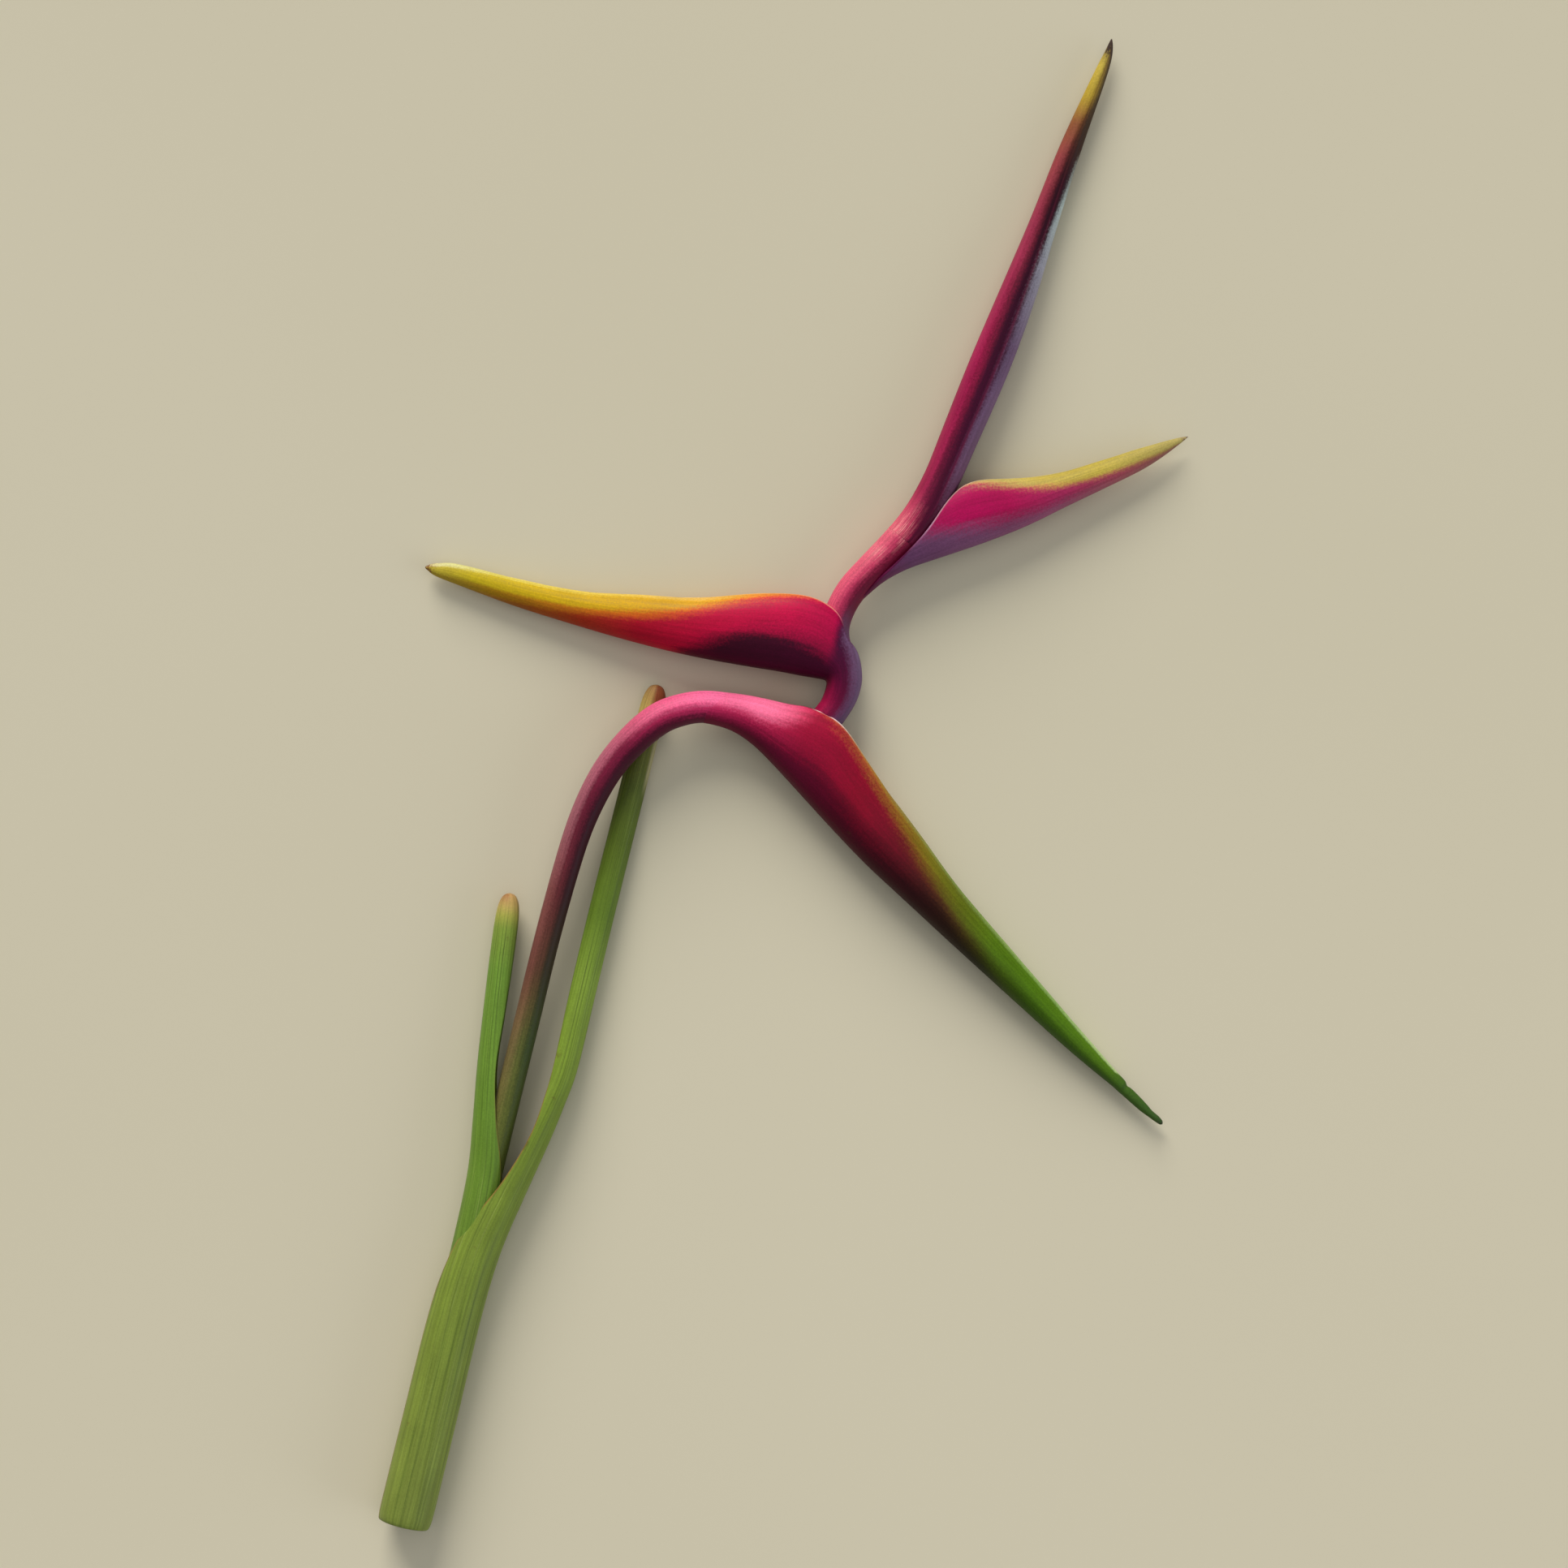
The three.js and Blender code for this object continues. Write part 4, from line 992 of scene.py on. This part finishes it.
def sheath_finish(name, stops, flank, flank_from, papery):
    """Green and finely striped, with scuffs, browning to its trimmed and withered end, sooner
    on one flank. A strip of its outer margin can be dry and papery."""
    finish = Finish(name, roughness=0.46, sheen=0.05, sheen_tint=(230, 240, 200), gloss=0.16)
    along, rise = finish.attribute("along"), finish.attribute("rise")
    colour = finish.ramp(along, stops)
    colour = finish.stain(colour, DARK_STRIPE_COLOUR, finish.streaks(*DARK_STRIPE),
                          start=0.5, full=0.72, strength=0.5)
    colour = finish.stain(colour, PALE_STRIPE_COLOUR, finish.streaks(*PALE_STRIPE),
                          start=0.58, full=0.74, strength=0.4)
    edge = finish.span(finish.attribute("edge"), *SHEATH_LIP_SPAN, 0.0, SHEATH_LIP_DEPTH)
    lip = finish.combine("MULTIPLY", edge, finish.span(along, *SHEATH_LIP_FADE, 1.0, 0.0))
    colour = finish.blend(lip, colour, SHEATH_LIP_COLOUR)
    scuffs = finish.noise(finish.place(), SCUFF, detail=5.0, roughness=MARK_ROUGHNESS)
    colour = finish.stain(colour, SCUFF_COLOUR, scuffs, start=0.62, full=0.72, strength=0.5)
    side = finish.combine("MULTIPLY", finish.span(rise, *FLANK_SPAN),
                          finish.span(along, flank_from, flank_from + FLANK_SOFTNESS))
    colour = finish.blend(side, colour, flank)
    strip = finish.combine("MULTIPLY", finish.span(rise, *PAPERY_SPAN),
                           finish.level(along, papery))
    colour = finish.blend(strip, colour, PAPERY_COLOUR)
    return finish.skin(colour, streak_depth=0.14, speckle_depth=0.06, ribs=0.4)


CANAL_COLOUR = (96, 104, 52)
PITH_COLOUR = (206, 208, 150)
CUT_STAIN_COLOUR = (150, 112, 64)


def cut_finish():
    """The pale cut end with its pores, staining in places."""
    finish = Finish("fresh_cut", roughness=0.6, sheen=0.0)
    canals = finish.cells(finish.place(), CANAL)
    colour = finish.blend(finish.span(canals, *CANAL_SPAN), CANAL_COLOUR, PITH_COLOUR)
    colour = finish.stain(colour, CUT_STAIN_COLOUR, finish.noise(finish.place(), CUT_STAIN),
                          start=0.5, full=0.7, strength=0.6)
    finish.put(finish.shader.inputs["Base Color"], colour)
    finish.put(finish.shader.inputs["Normal"], finish.relief(canals, strength=0.6, distance=0.4))
    return finish.material


def flower_finish():
    """Pale cream at the foot, green at the tip."""
    finish = Finish("flowers_pale_green", roughness=0.5, sheen=0.2, sheen_tint=(240, 240, 210))
    along = finish.attribute("along")
    colour = finish.ramp(along, [(0.0, (222, 214, 150)), (0.45, (214, 210, 120)),
                                 (0.8, (132, 156, 66)), (1.0, (84, 110, 44))])
    return finish.skin(colour, streak_depth=0.1, speckle_depth=0.05, ribs=0.3)


stalk_skin = stalk_finish()
sheath_right = sheath_finish(
    "leaf_stalk_green",
    stops=[(0.0, (120, 134, 56)), (0.5, (116, 138, 44)), (0.66, (124, 150, 52)),
           (0.73, (98, 124, 36)), (0.8, (88, 108, 30)), (0.88, (82, 94, 30)),
           (0.935, (104, 102, 40)), (0.97, (176, 156, 84)), (1.0, (150, 104, 60))],
    flank=(124, 66, 36), flank_from=0.955,
    papery=[(0.87, 0.0), (0.9, 0.75), (0.935, 0.75), (0.95, 0.0)])
sheath_left = sheath_finish(
    "leaf_stalk_bright_green",
    stops=[(0.0, (112, 130, 54)), (0.6, (100, 134, 42)), (0.88, (108, 144, 50)),
           (0.945, (128, 150, 58)), (0.965, (162, 162, 72)), (0.98, (182, 158, 88)),
           (1.0, (176, 134, 84))],
    flank=(150, 104, 62), flank_from=0.975,
    papery=[(0.0, 0.0), (1.0, 0.0)])
cut_skin = cut_finish()
flower_skin = flower_finish()

# The pieces, each with the solid it stands for. Mouths, tips and the places where flowers
# start and end are counted in stations from the foot.
pieces = [
    (stalk("stalk_skin", STALK, [stalk_skin, cut_skin]), "flower_stalk", "stalk_skin"),
    (sheath("outer_leaf_sheath", SHEATH_OUTER, mouth=2.4, side=1, materials=[sheath_right]),
     "leaf_sheath_outer", "sheath_skin"),
    (sheath("inner_leaf_sheath", SHEATH_INNER, mouth=1.5, side=-1, materials=[sheath_left]),
     "leaf_sheath_inner", "sheath_skin"),
    (bract("lowest_bract", LOWEST_BRACT, mouth=4.4, closed_tip=13.0,
           materials=[lowest_bract_finish()]), "bract_1_basal", "bract_basal_skin"),
    (bract("left_bract", LEFT_BRACT, mouth=6.2, closed_tip=15.0,
           materials=[left_bract_finish()]), "bract_2", "bract_skin"),
    (bract("right_bract", RIGHT_BRACT, mouth=0, closed_tip=10.0,
           materials=[right_bract_finish()]), "bract_3", "bract_skin"),
    (rolled_bract("rolled_top_bract", TOP_BRACT, [top_bract_finish()]),
     "bract_4_tip", "bract_tip_skin"),
    (flowers("flowers_in_lowest_bract", LOWEST_BRACT, start=5.0,
             ends=[(8.6, -0.1, 0.26), (8.2, -0.1, -0.26), (9.2, -0.45, 0.0), (7.4, 0.28, 0.0)],
             materials=[flower_skin], seed=3), "flower_cluster_1", "flower_skin"),
    (flowers("flowers_in_left_bract", LEFT_BRACT, start=7.1,
             ends=[(10.6, -0.1, 0.26), (10.2, -0.1, -0.26), (11.2, -0.45, 0.0), (9.4, 0.28, 0.0)],
             materials=[flower_skin], seed=5), "flower_cluster_2", "flower_skin"),
    (flowers("flowers_in_right_bract", RIGHT_BRACT, start=5.0,
             ends=[(7.4, -0.1, 0.2), (7.1, -0.1, -0.24), (7.7, -0.4, 0.0), (6.6, 0.24, 0.0)],
             materials=[flower_skin], seed=7), "flower_cluster_3", "flower_skin"),
]
for piece, node, slot in pieces:
    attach(piece, "root")
    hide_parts(node)

# Camera, floor and light. Sizes are in metres here, but for the sensor's, in millimetres.
CAMERA_HEIGHT = 1.9
FRAME_SIZE = 0.625      # what the picture spans at the surface
SENSOR_WIDTH = 36
FLOOR_SIZE = 4
AMBIENT_COLOUR = (0.9, 0.93, 1.0, 1)
AMBIENT_STRENGTH = 0.32
SURFACE_DARK = (206, 198, 170)
SURFACE_PALE = (214, 206, 180)


def surface():
    """The plain pale surface that the stem lies on."""
    finish = Finish("pale_surface", roughness=0.85, sheen=0.0)
    drift = finish.noise(finish.place(), SURFACE_DRIFT, detail=2.0)
    colour = finish.blend(drift, SURFACE_DARK, SURFACE_PALE)
    finish.put(finish.shader.inputs["Base Color"], colour)
    floor_mesh = bmesh.new()
    bmesh.ops.create_grid(floor_mesh, x_segments=1, y_segments=1, size=FLOOR_SIZE)
    data = bpy.data.meshes.new("surface")
    floor_mesh.to_mesh(data)
    floor_mesh.free()
    data.materials.append(finish.material)
    floor = bpy.data.objects.new("surface", data)
    bpy.context.scene.collection.objects.link(floor)
    return floor


def soft_light(name, toward, width, power, colour):
    """A broad far light, that falls alike on the whole surface, with its width in degrees."""
    data = bpy.data.lights.new(name, "SUN")
    data.angle = math.radians(width)
    data.energy = power
    data.color = colour
    lamp = bpy.data.objects.new(name, data)
    lamp.location = Vector(toward)
    lamp.rotation_euler = Vector(toward).to_track_quat("Z", "Y").to_euler()
    bpy.context.scene.collection.objects.link(lamp)


surface()
soft_light("main_from_tip_side", (-0.32, 1.3, 0.66), width=34, power=2.9,
           colour=(1.0, 0.975, 0.94))
soft_light("overhead", (0.1, 0.2, 1.7), width=60, power=0.4, colour=(1.0, 0.99, 0.97))
soft_light("cool_side", (1.05, -0.3, 0.34), width=40, power=0.8, colour=(0.8, 0.86, 1.0))

world = bpy.data.worlds.new("studio")
world.use_nodes = True
ambient = world.node_tree.nodes["Background"]
ambient.inputs["Color"].default_value = AMBIENT_COLOUR
ambient.inputs["Strength"].default_value = AMBIENT_STRENGTH
bpy.context.scene.world = world
bpy.context.scene.view_settings.view_transform = "Standard"

camera_data = bpy.data.cameras.new("camera")
camera_data.sensor_width = SENSOR_WIDTH
camera_data.lens = SENSOR_WIDTH * CAMERA_HEIGHT / FRAME_SIZE
camera = bpy.data.objects.new("camera", camera_data)
camera.location = (0, 0, CAMERA_HEIGHT)
bpy.context.scene.collection.objects.link(camera)
bpy.context.scene.camera = camera
